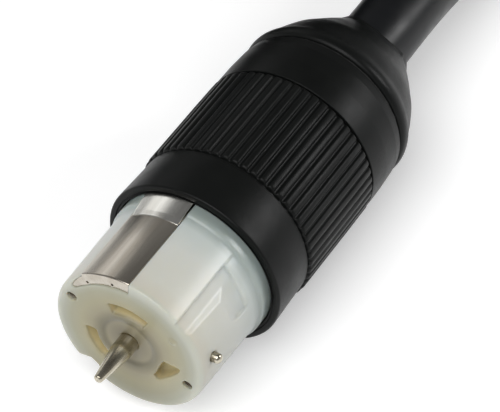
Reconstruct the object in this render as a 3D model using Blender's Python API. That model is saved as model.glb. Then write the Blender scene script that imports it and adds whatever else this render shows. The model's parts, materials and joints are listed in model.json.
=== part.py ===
"""A 50 A shore power cord: locking connector, 7.6 m of stored cord and a far-end plug.

Metres, +Z up. The connector lies along Y with its contact face towards -Y, and the cord leaves
towards +Y. Lengths along the connector are measured from the front edge of its black ring.
"""

from math import cos, pi, radians, sin, sqrt

import bmesh
import bpy
from mathutils import Matrix, Vector

MM = 0.001
GAP = 0.3 * MM  # clearance between pieces that touch

# Connector housing.
RING_RADIUS = 31.0 * MM
RIB_RADIUS = 31.3 * MM
RIB_DEPTH = 0.9 * MM
RIB_COUNT = 56
RIBS_START = 18.6 * MM
RIBS_END = 57.2 * MM
HOUSING_END = 76.4 * MM
HOUSING_BORE = 28.0 * MM
BOOT_START = 77.6 * MM
BOOT_END = 107.5 * MM
SPIGOT_START = 60.0 * MM
SPIGOT_RADIUS = HOUSING_BORE - GAP

# Nylon nose with its contacts.
NOSE_FRONT = -36.8 * MM
NOSE_BACK = 12.0 * MM
NOSE_RADIUS = 26.8 * MM
FLANGE_RADIUS = 27.6 * MM
LAND_RADIUS = 26.9 * MM
CHAMBER_FRONT = -31.0 * MM
SLOT_CENTRES = (92.0, 212.0, 332.0)
SLOT_SPAN = 60.0
SLOT_INNER = 11.0 * MM
SLOT_OUTER = 15.8 * MM
CHAMBER_INNER = 10.2 * MM
CHAMBER_OUTER = 16.8 * MM
STRIP_INNER = 26.2 * MM
STRIP_OUTER = 26.9 * MM
STRIP_FROM = 88.5
STRIP_TO = 127.0
PIN_TIP = -53.4 * MM
PIN_RADIUS = 3.3 * MM
SCREW_CIRCLE = 22.0 * MM
SCREW_ANGLES = (155.0, -18.4)
DETENT_ANGLE = 6.8
DETENT_Z = -30.0 * MM
DETENT_RADIUS = 1.5 * MM
DETENT_OUT = 28.5 * MM

# Terminal end of the connector.
BLOCK_FRONT = NOSE_BACK + GAP
BLOCK_BACK = 32.0 * MM
BLOCK_RADIUS = 24.6 * MM
TAB_OFFSET = -19.5
TAB_HALF_SPAN = 13.0
TAB_INNER = 13.0 * MM
TAB_OUTER = 14.6 * MM
LUG_FRONT = 32.6 * MM
LUG_BACK = 43.0 * MM
LUG_INNER = TAB_OUTER + GAP
LUG_OUTER = 23.0 * MM
LUG_WIDTH = 11.0 * MM
GROUND_LUG_ANGLE = 122.0
WIRE_RADIUS = 3.2 * MM
WIRE_CIRCLE = 19.0 * MM

# Cord clamp.
CLAMP_MIDDLE = 83.5 * MM
CLAMP_LENGTH = 7.0 * MM
CLAMP_SCREW_X = 18.4 * MM

# Cord.
CORD_RADIUS = 12.5 * MM
CORD_PITCH = 26.0 * MM
LAYER_PITCH = 25.0 * MM
COIL_OUTER_TURN = 174.6 * MM
COIL_LAYER_TURNS = 2.56
COIL_CLIMB_ANGLE = radians(110.0)
COIL_LAST_TURN = 118.0 * MM
TAIL_CLIMB_ANGLE = radians(121.0)
TAIL_STRAIGHT = 50.0 * MM
STRAP_THICKNESS = 1.6 * MM
STRAP_WIDTH = 25.0 * MM
COIL_BASE = STRAP_THICKNESS + GAP + 0.2 * MM

# Far-end plug.
PLUG_HALF_WIDTH = 33.0 * MM
PLUG_HALF_HEIGHT = 22.0 * MM
RELIEF_LENGTH = 26.0 * MM
PLUG_BODY_END = 84.0 * MM
PLUG_WALL = 3.0 * MM
BLADE_REACH = 25.0 * MM

BLADES = {
    "plug_blade_line_1": ((-12.7 * MM, 1.0 * MM), (0.85 * MM, 7.1 * MM)),
    "plug_blade_line_2": ((12.7 * MM, 1.0 * MM), (0.85 * MM, 7.1 * MM)),
    "plug_blade_neutral": ((0.0, -12.0 * MM), (0.85 * MM, 4.8 * MM)),
}
GROUND_PIN_PLACE = (0.0, 11.5 * MM)
GROUND_PIN_RADIUS = 3.3 * MM
PLUG_SCREW_X = 24.0 * MM
HANDLE_PIVOT_Z = 56.0 * MM
HANDLE_INSIDE = PLUG_HALF_WIDTH + 0.8 * MM
HANDLE_THICKNESS = 4.2 * MM
HANDLE_HALF_DEPTH = 5.0 * MM
HANDLE_REACH = 62.0 * MM
HANDLE_REST_TILT = radians(30.0)

SIDES = ((-1, "left"), (1, "right"))

# Placement in the world: the origin is under the middle of the connector, on the floor.
AXIS_HEIGHT = RIB_RADIUS
RING_FACE_Y = -(PIN_TIP + BOOT_END) / 2
COIL_CENTRE = Vector((-COIL_OUTER_TURN, 297.0 * MM + RING_FACE_Y, 0.0))
COIL_INNER_TURN = COIL_OUTER_TURN - CORD_PITCH * COIL_LAYER_TURNS
COIL_TOP = COIL_BASE + 2 * LAYER_PITCH + 2 * CORD_RADIUS
PLUG_AXIS_HEIGHT = COIL_TOP + GAP + PLUG_HALF_HEIGHT


def clear_scene():
    for thing in list(bpy.data.objects):
        bpy.data.objects.remove(thing, do_unlink=True)


def material(name, colour, roughness, metallic=0.0):
    made = bpy.data.materials.new(name)
    made.use_nodes = True
    shader = made.node_tree.nodes["Principled BSDF"]
    shader.inputs["Base Color"].default_value = (*colour, 1.0)
    shader.inputs["Roughness"].default_value = roughness
    shader.inputs["Metallic"].default_value = metallic
    return made


def axis_empty(name, location, heading):
    """An empty whose local Z lies flat and points along heading; its local Y points down."""
    empty = bpy.data.objects.new(name, None)
    bpy.context.scene.collection.objects.link(empty)
    empty.location = location
    empty.rotation_euler = (-pi / 2, 0.0, heading - pi / 2)
    return empty


def add_object(name, mesh, look, parent, sharp=35.0):
    made = bpy.data.objects.new(name, mesh)
    bpy.context.scene.collection.objects.link(made)
    made.parent = parent
    if look is not None:
        made.data.materials.append(look)
    mesh.shade_smooth()
    mesh.set_sharp_from_angle(angle=radians(sharp))
    return made


def to_mesh(name, work):
    bmesh.ops.remove_doubles(work, verts=work.verts, dist=1e-6)
    bmesh.ops.recalc_face_normals(work, faces=work.faces)
    mesh = bpy.data.meshes.new(name)
    work.to_mesh(mesh)
    work.free()
    return mesh


def around(radius, angle, z=0.0):
    """A point at this radius and angle; angle 0 is world +X and 90 is up."""
    return Vector((radius * cos(radians(angle)), -radius * sin(radians(angle)), z))


def turned_mesh(name, profile, steps=64, closed=True):
    """Turns (radius, z) points about local Z. A closed profile makes a ring, an open one a solid."""
    work = bmesh.new()
    points = [work.verts.new((radius, 0.0, z)) for radius, z in profile]
    pairs = list(zip(points, points[1:]))
    if closed:
        pairs.append((points[-1], points[0]))
    edges = [work.edges.new(pair) for pair in pairs]
    bmesh.ops.spin(
        work, geom=points + edges, cent=(0, 0, 0), axis=(0, 0, 1), angle=2 * pi, steps=steps,
        use_merge=True,
    )
    return to_mesh(name, work)


def turned(name, profile, look, parent, steps=64, closed=True):
    return add_object(name, turned_mesh(name, profile, steps, closed), look, parent)


def prism_mesh(name, outline, z0, z1):
    """Extrudes an outline of (x, y) points from z0 to z1."""
    work = bmesh.new()
    face = work.faces.new([work.verts.new((x, y, z0)) for x, y in outline])
    grown = bmesh.ops.extrude_face_region(work, geom=[face])
    moved = [part for part in grown["geom"] if isinstance(part, bmesh.types.BMVert)]
    bmesh.ops.translate(work, verts=moved, vec=(0, 0, z1 - z0))
    return to_mesh(name, work)


def sector_outline(inner, outer, start, end, steps):
    angles = [start + (end - start) * step / steps for step in range(steps + 1)]
    far = [around(outer, angle) for angle in angles]
    near = [around(inner, angle) for angle in reversed(angles)]
    return [(point.x, point.y) for point in far + near]


def sector_mesh(name, inner, outer, start, end, z0, z1, steps=12):
    return prism_mesh(name, sector_outline(inner, outer, start, end, steps), z0, z1)


def sector(name, inner, outer, start, end, z0, z1, look, parent, steps=12):
    mesh = sector_mesh(name, inner, outer, start, end, z0, z1, steps)
    return add_object(name, mesh, look, parent)


def rod_mesh(name, radius, start, end, steps=16):
    """A straight rod between two points."""
    work = bmesh.new()
    run = end - start
    turn = run.to_track_quat("Z", "Y").to_matrix().to_4x4()
    bmesh.ops.create_cone(
        work, cap_ends=True, segments=steps, radius1=radius, radius2=radius, depth=run.length,
        matrix=Matrix.Translation((start + end) / 2) @ turn,
    )
    return to_mesh(name, work)


def block_mesh(name, centre, size, angle=0.0):
    """A box whose local X is turned to point along the given angle about the axis."""
    work = bmesh.new()
    turn = Matrix.Rotation(-radians(angle), 4, "Z")
    scale = Matrix.Diagonal((*size, 1.0))
    bmesh.ops.create_cube(work, size=1.0, matrix=Matrix.Translation(centre) @ turn @ scale)
    return to_mesh(name, work)


def rod(name, radius, start, end, look, parent, steps=16):
    return add_object(name, rod_mesh(name, radius, start, end, steps), look, parent)


def combine(target, name, mesh, operation="DIFFERENCE"):
    """Adds a Boolean to target with a hidden helper made from mesh."""
    helper = add_object(name, mesh, None, target.parent)
    helper.hide_render = True
    helper.display_type = "WIRE"
    step = target.modifiers.new(name, "BOOLEAN")
    step.operation = operation
    step.object = helper
    step.solver = "EXACT"


def smooth_step(part):
    return part * part * (3 - 2 * part)


def smooth_through(points, spacing):
    """Points at the given spacing on a Catmull-Rom curve through hand-chosen points."""
    padded = [2 * points[0] - points[1], *points, 2 * points[-1] - points[-2]]
    line = [points[0].copy()]
    for a, b, c, d in zip(padded, padded[1:], padded[2:], padded[3:]):
        count = max(1, round((c - b).length / spacing))
        for step in range(1, count + 1):
            t = step / count
            bend = (2 * a - 5 * b + 4 * c - d) * t * t + (3 * b - a - 3 * c + d) * t ** 3
            line.append(b + ((c - a) * t + bend) / 2)
    return line


def tube(name, points, radius, look, parent=None, resolution=2):
    """A curve tube with filled caps through the given points."""
    curve = bpy.data.curves.new(name, "CURVE")
    curve.dimensions = "3D"
    curve.bevel_depth = radius
    curve.bevel_resolution = resolution
    curve.use_fill_caps = True
    line = curve.splines.new("POLY")
    line.points.add(len(points) - 1)
    for spot, point in zip(line.points, points):
        spot.co = (*point, 1.0)
    curve.materials.append(look)
    made = bpy.data.objects.new(name, curve)
    bpy.context.scene.collection.objects.link(made)
    made.parent = parent
    return made


# ---------------------------------------------------------------- connector housing


def rib_outline_radius(step):
    return RIB_RADIUS if step % 2 == 0 else RIB_RADIUS - RIB_DEPTH


def grip_housing(look, parent):
    """The black body: smooth front ring, ribbed grip and smooth rear ring around one bore."""
    smooth = [
        (HOUSING_BORE, 0.0),
        (RING_RADIUS - 0.8 * MM, 0.0),
        (RING_RADIUS, 0.8 * MM),
        (RING_RADIUS - 0.7 * MM, 17.9 * MM),
        (RING_RADIUS - 1.0 * MM, RIBS_START - GAP),
    ]
    rear = [
        (RING_RADIUS - 0.1 * MM, RIBS_END + GAP),
        (RING_RADIUS - 0.1 * MM, 70.0 * MM),
        (RING_RADIUS - 0.7 * MM, 75.0 * MM),
        (RING_RADIUS - 1.6 * MM, HOUSING_END),
        (HOUSING_BORE, HOUSING_END),
    ]
    steps = 2 * RIB_COUNT
    work = bmesh.new()
    rows = []
    for radius, z in smooth + [(None, RIBS_START), (None, RIBS_END)] + rear:
        row = []
        for step in range(steps):
            reach = rib_outline_radius(step) if radius is None else radius
            row.append(work.verts.new(around(reach, 360.0 * step / steps, z)))
        rows.append(row)
    for low, high in zip(rows, rows[1:] + rows[:1]):
        for step in range(steps):
            after = (step + 1) % steps
            work.faces.new((low[step], low[after], high[after], high[step]))
    mesh = to_mesh("grip_housing", work)
    return add_object("grip_housing", mesh, look, parent, sharp=20.0)


def rear_boot(look, parent):
    """The tapering rear cover with the spigot that plugs into the housing."""
    profile = [
        (SPIGOT_RADIUS, SPIGOT_START),
        (SPIGOT_RADIUS, BOOT_START),
        (29.6 * MM, BOOT_START),
        (30.1 * MM, 78.4 * MM),
        (30.0 * MM, 80.4 * MM),
        (28.8 * MM, 84.0 * MM),
        (27.2 * MM, 88.0 * MM),
        (25.3 * MM, 92.0 * MM),
        (22.8 * MM, 96.0 * MM),
        (20.3 * MM, 100.0 * MM),
        (18.6 * MM, 102.2 * MM),
        (16.6 * MM, 104.4 * MM),
        (14.6 * MM, 106.4 * MM),
        (13.5 * MM, BOOT_END),
        (CORD_RADIUS + GAP, BOOT_END),
        (CORD_RADIUS + GAP, 101.5 * MM),
        (16.8 * MM, 101.5 * MM),
        (16.8 * MM, 93.0 * MM),
        (20.0 * MM, 92.0 * MM),
        (22.6 * MM, 88.0 * MM),
        (25.2 * MM, 80.0 * MM),
        (25.2 * MM, SPIGOT_START),
    ]
    return turned("rear_boot", profile, look, parent, 48)


def boot_gasket(look, parent):
    """The sealing ring that shows as a dark line between housing and boot."""
    profile = [
        (SPIGOT_RADIUS + GAP, HOUSING_END + GAP),
        (29.3 * MM, HOUSING_END + GAP),
        (29.3 * MM, BOOT_START - GAP),
        (SPIGOT_RADIUS + GAP, BOOT_START - GAP),
    ]
    return turned("boot_gasket", profile, look, parent, 32)


# ---------------------------------------------------------------- nose and contacts


def cut_locking_groove(nose, name, start, steep, toe, leg_end):
    """An axial channel with one sloped wall, and the leg that the mating lug turns into."""
    floor = NOSE_RADIUS - 2.2 * MM
    rim = NOSE_RADIUS + 2.0 * MM
    middle = (start + steep) / 2
    outline = [around(floor, angle) for angle in (start, middle)]
    outline += [around(NOSE_RADIUS + 0.2 * MM, toe), around(rim + MM, toe), around(rim + MM, start)]
    channel = [(point.x, point.y) for point in outline]
    combine(nose, name + "_channel", prism_mesh(name, channel, NOSE_FRONT - MM, -10.0 * MM))
    leg = sector_mesh(name, floor, rim, leg_end, middle, -19.0 * MM, -10.0 * MM)
    combine(nose, name + "_leg", leg)


def nose_body(look, parent):
    """The nylon nose, cut for its slots, contact chambers, grooves, strip, pin and screws."""
    profile = [
        (0.0, NOSE_FRONT),
        (24.0 * MM, NOSE_FRONT),
        (25.6 * MM, NOSE_FRONT + 0.8 * MM),
        (26.3 * MM, NOSE_FRONT + 2.8 * MM),
        (NOSE_RADIUS, -4.4 * MM),
        (FLANGE_RADIUS, -4.0 * MM),
        (FLANGE_RADIUS, NOSE_BACK),
        (0.0, NOSE_BACK),
    ]
    nose = turned("nose_body", profile, look, parent, closed=False)
    land = sector_mesh("land", 20.0 * MM, LAND_RADIUS, 49.0, 88.0, NOSE_FRONT, -4.2 * MM)
    combine(nose, "land", land, "UNION")
    for index, centre in enumerate(SLOT_CENTRES):
        half = SLOT_SPAN / 2
        slot = sector_mesh(
            "slot", SLOT_INNER, SLOT_OUTER, centre - half, centre + half,
            NOSE_FRONT - MM, CHAMBER_FRONT + MM,
        )
        combine(nose, f"slot_{index}", slot)
        half += 3.0
        chamber = sector_mesh(
            "chamber", CHAMBER_INNER, CHAMBER_OUTER, centre - half, centre + half,
            CHAMBER_FRONT, NOSE_BACK + MM,
        )
        combine(nose, f"chamber_{index}", chamber)
    cut_locking_groove(nose, "front_groove", 49.0, 39.0, 31.0, 13.0)
    cut_locking_groove(nose, "lower_groove", 254.0, 240.0, 229.0, 214.0)
    recess = sector_mesh(
        "strip_recess", STRIP_INNER - GAP, 30 * MM, STRIP_FROM - 0.7, STRIP_TO + 0.7,
        NOSE_FRONT - MM, NOSE_BACK + MM, 16,
    )
    combine(nose, "strip_recess", recess)
    ledge = sector_mesh(
        "strip_ledge", 23.7 * MM, 30 * MM, STRIP_FROM - 0.7, STRIP_TO + 0.7,
        NOSE_FRONT - MM, NOSE_FRONT + 1.6 * MM, 16,
    )
    combine(nose, "strip_ledge", ledge)
    axis_start = Vector((0, 0, NOSE_FRONT - MM))
    dish = rod_mesh("dish", 9.3 * MM, axis_start, Vector((0, 0, NOSE_FRONT + 0.6 * MM)), 32)
    combine(nose, "dish", dish)
    bore = rod_mesh("pin_bore", PIN_RADIUS + GAP, axis_start, Vector((0, 0, NOSE_BACK + MM)), 24)
    combine(nose, "pin_bore", bore)
    for index, angle in enumerate(SCREW_ANGLES):
        start = around(SCREW_CIRCLE, angle, NOSE_FRONT - MM)
        hole = rod_mesh("screw_hole", 1.9 * MM, start, around(SCREW_CIRCLE, angle, NOSE_BACK + MM))
        combine(nose, f"screw_hole_{index}", hole)
    pocket = rod_mesh(
        "detent_bore", DETENT_RADIUS + GAP,
        around(18.4 * MM, DETENT_ANGLE, DETENT_Z), around(30 * MM, DETENT_ANGLE, DETENT_Z),
    )
    combine(nose, "detent_bore", pocket)
    return nose


def line_contact(name, centre, look, parent):
    """A curved female contact: two leaves that a blade slides between, a web and a tab."""
    front = CHAMBER_FRONT + GAP
    half = SLOT_SPAN / 2 + 2.0
    web = 9.0 * MM
    contact = sector(
        name, CHAMBER_INNER + GAP, CHAMBER_OUTER - GAP, centre - half, centre + half,
        front, web + 1.2 * MM, look, parent, 10,
    )
    space = sector_mesh(
        "blade_space", SLOT_INNER + 0.1 * MM, SLOT_OUTER - 0.1 * MM,
        centre - half - 2.0, centre + half + 2.0, front - MM, web, 14,
    )
    combine(contact, name + "_space", space)
    tab = sector_mesh(
        "tab", TAB_INNER, TAB_OUTER, centre + TAB_OFFSET - TAB_HALF_SPAN,
        centre + TAB_OFFSET + TAB_HALF_SPAN, web + 0.4 * MM, LUG_BACK, 6,
    )
    combine(contact, name + "_tab", tab, "UNION")
    return contact


def ground_strip(look, parent):
    """The outer metal strip with its turned-in front end and the tail that reaches the ground lug."""
    strip = sector(
        "ground_strip", STRIP_INNER, STRIP_OUTER, STRIP_FROM, STRIP_TO,
        NOSE_FRONT + 0.5 * MM, NOSE_BACK, look, parent, 16,
    )
    lip = sector_mesh(
        "strip_lip", 24.0 * MM, STRIP_OUTER - 0.05 * MM, STRIP_FROM + 0.5, STRIP_TO - 0.5,
        NOSE_FRONT + 0.5 * MM, NOSE_FRONT + 1.2 * MM, 16,
    )
    combine(strip, "strip_lip", lip, "UNION")
    tail = sector_mesh(
        "strip_tail", STRIP_INNER + 0.05 * MM, STRIP_OUTER - 0.05 * MM, GROUND_LUG_ANGLE - 9.0,
        STRIP_TO - 0.3, NOSE_BACK - MM, LUG_BACK, 6,
    )
    combine(strip, "strip_tail", tail, "UNION")
    return strip


def ground_collar(look, parent):
    return sector(
        "ground_collar", STRIP_OUTER + GAP, 28.0 * MM, STRIP_FROM + 0.3, 125.5,
        -8.0 * MM, -GAP, look, parent, 14,
    )


def guide_pin(look, parent):
    """The tapered centre pin with a shank that runs through nose and terminal block."""
    profile = [
        (0.0, PIN_TIP),
        (1.3 * MM, PIN_TIP + 0.4 * MM),
        (PIN_RADIUS, -41.0 * MM),
        (PIN_RADIUS, BLOCK_BACK + 6.0 * MM),
        (0.0, BLOCK_BACK + 6.0 * MM),
    ]
    return turned("guide_pin", profile, look, parent, 24, closed=False)


def guide_pin_nut(look, parent):
    outline = [around(6.0 * MM, 60.0 * corner) for corner in range(6)]
    z0 = BLOCK_BACK + 1.2 * MM + 2 * GAP
    mesh = prism_mesh("guide_pin_nut", [(p.x, p.y) for p in outline], z0, z0 + 3.0 * MM)
    nut = add_object("guide_pin_nut", mesh, look, parent)
    span = (Vector((0, 0, z0 - MM)), Vector((0, 0, z0 + 4.0 * MM)))
    combine(nut, "nut_bore", rod_mesh("nut_bore", PIN_RADIUS + GAP, *span, 24))
    return nut


def guide_pin_washer(look, parent):
    z0 = BLOCK_BACK + GAP
    inner = PIN_RADIUS + GAP
    outer = 8.0 * MM
    z1 = z0 + 1.2 * MM
    profile = [(inner, z0), (outer, z0), (outer, z1), (inner, z1)]
    return turned("guide_pin_washer", profile, look, parent, 24)


def detent_pin(look, parent):
    """The sprung side pin. Its own empty lies on the radial line that it slides along."""
    out = around(1.0, DETENT_ANGLE).normalized()
    slide = bpy.data.objects.new("detent_slide", None)
    bpy.context.scene.collection.objects.link(slide)
    slide.parent = parent
    slide.location = around(0.0, 0.0, DETENT_Z)
    slide.rotation_euler = out.to_track_quat("Z", "Y").to_euler()
    head = DETENT_RADIUS
    profile = [(0.0, 23.6 * MM), (DETENT_RADIUS, 23.6 * MM)]
    for step in range(5):
        lift = pi / 2 * step / 4
        profile.append((head * cos(lift), DETENT_OUT - head * (1 - sin(lift))))
    profile[-1] = (0.0, DETENT_OUT)
    return turned("detent_pin", profile, look, slide, 16, closed=False)


def detent_spring(look, parent):
    """The coil spring under the side pin, at the length it is pressed to."""
    turns = 3
    steps = 8
    inner = 18.8 * MM
    outer = 21.2 * MM
    out = around(1.0, DETENT_ANGLE).normalized()
    side = out.cross(Vector((0, 0, 1)))
    points = []
    for step in range(turns * steps + 1):
        angle = 2 * pi * step / steps
        reach = inner + (outer - inner) * step / (turns * steps)
        swing = side * cos(angle) + Vector((0, 0, 1)) * sin(angle)
        points.append(out * reach + swing * 1.1 * MM + Vector((0, 0, DETENT_Z)))
    return tube("detent_spring", points, 0.2 * MM, look, parent, 1)


def face_screws(look, parent):
    """The two long screws that hold nose and terminal block together."""
    for index, angle in enumerate(SCREW_ANGLES, 1):
        start = around(SCREW_CIRCLE, angle, NOSE_FRONT + 1.4 * MM)
        end = around(SCREW_CIRCLE, angle, BLOCK_BACK - 4.0 * MM)
        rod(f"face_screw_{index}", 1.5 * MM, start, end, look, parent, 12)


# ---------------------------------------------------------------- terminals


def terminal_block(look, parent):
    """The rear insulator: tabs, pin shank and screws pass through it."""
    profile = [
        (0.0, BLOCK_FRONT),
        (BLOCK_RADIUS, BLOCK_FRONT),
        (BLOCK_RADIUS, BLOCK_BACK),
        (0.0, BLOCK_BACK),
    ]
    block = turned("terminal_block", profile, look, parent, 48, closed=False)
    below = BLOCK_FRONT - MM
    above = BLOCK_BACK + MM
    for index, centre in enumerate(SLOT_CENTRES):
        middle = centre + TAB_OFFSET
        reach = TAB_HALF_SPAN + 2.0
        passage = sector_mesh(
            "tab_passage", TAB_INNER - GAP, TAB_OUTER + GAP, middle - reach, middle + reach,
            below, above, 6,
        )
        combine(block, f"tab_passage_{index}", passage)
    bore = rod_mesh("block_bore", PIN_RADIUS + GAP, Vector((0, 0, below)), Vector((0, 0, above)), 24)
    combine(block, "block_bore", bore)
    for index, angle in enumerate(SCREW_ANGLES):
        hole = rod_mesh(
            "block_screw_hole", 1.9 * MM, around(SCREW_CIRCLE, angle, below),
            around(SCREW_CIRCLE, angle, BLOCK_BACK - 2.0 * MM),
        )
        combine(block, f"block_screw_hole_{index}", hole)
    return block


def lug(name, angle, outer, look, parent):
    """A clamp terminal that takes one conductor from behind and one radial screw."""
    centre = around((LUG_INNER + outer) / 2, angle, (LUG_FRONT + LUG_BACK) / 2)
    size = (outer - LUG_INNER, LUG_WIDTH, LUG_BACK - LUG_FRONT)
    made = add_object(name, block_mesh(name, centre, size, angle), look, parent)
    wire_hole = rod_mesh(
        name + "_hole", WIRE_RADIUS + GAP, around(WIRE_CIRCLE, angle, 38.0 * MM),
        around(WIRE_CIRCLE, angle, LUG_BACK + MM),
    )
    combine(made, name + "_wire_hole", wire_hole)
    return made


def line_angles():
    return [centre + TAB_OFFSET for centre in SLOT_CENTRES]


def terminal_screws(look, parent):
    """One slotted clamp screw on the outside of each line terminal."""
    z = (LUG_FRONT + LUG_BACK) / 2
    for index, angle in enumerate(line_angles(), 1):
        start = around(LUG_OUTER + GAP, angle, z)
        end = around(26.4 * MM, angle, z)
        rod(f"terminal_screw_{index}", 3.4 * MM, start, end, look, parent)


def conductor_route(angle, lay_angle):
    """Hand-chosen points from the terminal back to the wire's place in the cord's jacket."""
    turn = lay_angle - angle
    inner = 5.0 * MM
    return [
        around(WIRE_CIRCLE, angle, 39.0 * MM),
        around(WIRE_CIRCLE, angle, 46.0 * MM),
        around(16.0 * MM, angle + 0.2 * turn, 54.0 * MM),
        around(9.5 * MM, angle + 0.7 * turn, 63.0 * MM),
        around(inner, lay_angle, 72.0 * MM),
        around(inner, lay_angle, 79.0 * MM - GAP),
    ]


def conductors(looks, parent):
    """The four insulated wires between jacket and terminals."""
    angles = {
        "conductor_black": (line_angles()[0], 55.0),
        "conductor_red": (line_angles()[1], 235.0),
        "conductor_white": (line_angles()[2], 325.0),
        "conductor_green": (GROUND_LUG_ANGLE, 145.0),
    }
    for name, (angle, lay_angle) in angles.items():
        route = smooth_through(conductor_route(angle, lay_angle), 4.0 * MM)
        tube(name, route, WIRE_RADIUS, looks[name], parent)


# ---------------------------------------------------------------- cord grip inside the boot


def cord_clamp(name, side, look, parent):
    """Half of the clamp that bites the jacket; side is 1 above the cord and -1 below."""
    z0 = CLAMP_MIDDLE - CLAMP_LENGTH / 2
    z1 = CLAMP_MIDDLE + CLAMP_LENGTH / 2
    start = 1.5 if side > 0 else 181.5
    half = sector(
        name, CORD_RADIUS + GAP, 18.0 * MM, start, start + 177.0, z0, z1, look, parent, 16
    )
    for hand, label in SIDES:
        centre = Vector((hand * 18.0 * MM, -side * 3.4 * MM, CLAMP_MIDDLE))
        ear = block_mesh("ear", centre, (5.6 * MM, 5.6 * MM, CLAMP_LENGTH - 0.1 * MM))
        combine(half, f"{name}_ear_{label}", ear, "UNION")
        top = Vector((hand * CLAMP_SCREW_X, 9.0 * MM, CLAMP_MIDDLE))
        bottom = Vector((hand * CLAMP_SCREW_X, -9.0 * MM, CLAMP_MIDDLE))
        combine(half, f"{name}_hole_{label}", rod_mesh("hole", 1.4 * MM, top, bottom, 12))
    return half


def cord_clamp_screws(look, parent):
    for side, label in SIDES:
        start = Vector((side * CLAMP_SCREW_X, -8.0 * MM, CLAMP_MIDDLE))
        end = Vector((side * CLAMP_SCREW_X, 8.0 * MM, CLAMP_MIDDLE))
        rod(f"cord_clamp_screw_{label}", 1.1 * MM, start, end, look, parent, 12)


def cord_grommet(look, parent):
    z0 = 93.0 * MM + GAP
    z1 = 101.5 * MM - GAP
    inner = CORD_RADIUS + GAP
    outer = 16.8 * MM - GAP
    profile = [(inner, z0), (outer, z0), (outer, z1), (inner, z1)]
    return turned("cord_grommet", profile, look, parent, 32)


def cord_end(look, parent):
    """The stretch of jacket that is gripped inside the connector."""
    profile = [
        (0.0, 79.0 * MM),
        (CORD_RADIUS, 79.0 * MM),
        (CORD_RADIUS, BOOT_END),
        (0.0, BOOT_END),
    ]
    return turned("cord_end", profile, look, parent, 48, closed=False)


# ---------------------------------------------------------------- cord, coil and ties


def lead_route():
    """Hand-chosen points from the boot to where the lead meets the coil's outside."""
    base = COIL_BASE + CORD_RADIUS
    exit_y = BOOT_END + GAP + RING_FACE_Y
    return [
        Vector((0.0, exit_y, AXIS_HEIGHT)),
        Vector((-0.2 * MM, exit_y + 18 * MM, AXIS_HEIGHT)),
        Vector((-0.4 * MM, exit_y + 36 * MM, AXIS_HEIGHT - 0.9 * MM)),
        Vector((-0.4 * MM, exit_y + 60 * MM, AXIS_HEIGHT - 3.9 * MM)),
        Vector((-0.2 * MM, exit_y + 84 * MM, AXIS_HEIGHT - 8.4 * MM)),
        Vector((0.0, exit_y + 108 * MM, base + 4.2 * MM)),
        Vector((0.0, exit_y + 132 * MM, base + 1.2 * MM)),
        Vector((0.0, exit_y + 156 * MM, base)),
        Vector((0.0, COIL_CENTRE.y, base)),
    ]


def tail_start_angle():
    """Where the winding ends on the third layer and the tail begins to climb."""
    layer = 2 * pi * COIL_LAYER_TURNS
    last = 2 * pi * (COIL_OUTER_TURN - COIL_LAST_TURN) / CORD_PITCH
    return 2 * layer + 2 * COIL_CLIMB_ANGLE + last


def tail_point(angle):
    """The cord's centre while it climbs from the top layer to the plug's height."""
    part = smooth_step((angle - tail_start_angle()) / TAIL_CLIMB_ANGLE)
    low = COIL_BASE + CORD_RADIUS + 2 * LAYER_PITCH
    height = low + (PLUG_AXIS_HEIGHT - low) * part
    reach = Vector((cos(angle), sin(angle), 0.0)) * COIL_LAST_TURN
    return COIL_CENTRE + reach + Vector((0, 0, height))


def tail_route():
    """The part of the tail that has come clear of the coil's top, up to the plug."""
    steps = 24
    start = tail_start_angle()
    angles = [start + TAIL_CLIMB_ANGLE * step / steps for step in range(steps + 1)]
    climb = [tail_point(angle) for angle in angles]
    clear = [point for point in climb if point.z > COIL_TOP + CORD_RADIUS + 2 * GAP]
    heading = Vector((-sin(angles[-1]), cos(angles[-1]), 0.0))
    straight = [clear[-1] + heading * (TAIL_STRAIGHT - GAP) * part for part in (0.5, 1.0)]
    return clear + straight


def cord_coil(look):
    """The outer shape of the wound cord: one turned ring."""
    inner = COIL_INNER_TURN - CORD_RADIUS - MM
    outer = COIL_OUTER_TURN + CORD_RADIUS
    edge = 8.0 * MM
    profile = [
        (inner + edge, COIL_BASE),
        (outer - edge, COIL_BASE),
        (outer, COIL_BASE + edge),
        (outer, COIL_TOP - edge),
        (outer - edge, COIL_TOP),
        (inner + edge, COIL_TOP),
        (inner, COIL_TOP - edge),
        (inner, COIL_BASE + edge),
    ]
    coil = turned("cord_coil", profile, look, None, 72)
    coil.location = COIL_CENTRE
    return coil


def rectangle(x0, x1, y0, y1):
    return [(x0, y0), (x1, y0), (x1, y1), (x0, y1)]


def coil_tie(name, angle, look):
    """A strap looped round the coil's cross-section. Local X is radial and local Y is up."""
    half = STRAP_WIDTH / 2
    inner_wall = COIL_INNER_TURN - CORD_RADIUS - MM
    inside = sqrt(inner_wall ** 2 - half ** 2) - GAP
    outside = COIL_OUTER_TURN + CORD_RADIUS + GAP
    low = COIL_BASE - GAP
    high = COIL_TOP + GAP
    t = STRAP_THICKNESS
    loop = prism_mesh(name, rectangle(inside - t, outside + t, low - t, high + t), -half, half)
    strap = add_object(name, loop, look, None)
    strap.location = COIL_CENTRE
    strap.rotation_euler = (pi / 2, 0.0, angle)
    hollow = prism_mesh("hollow", rectangle(inside, outside, low, high), -half - MM, half + MM)
    combine(strap, name + "_hollow", hollow)
    helper = bpy.data.objects[name + "_hollow"]
    helper.location = strap.location
    helper.rotation_euler = strap.rotation_euler
    return strap


# ---------------------------------------------------------------- far-end plug


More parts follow.
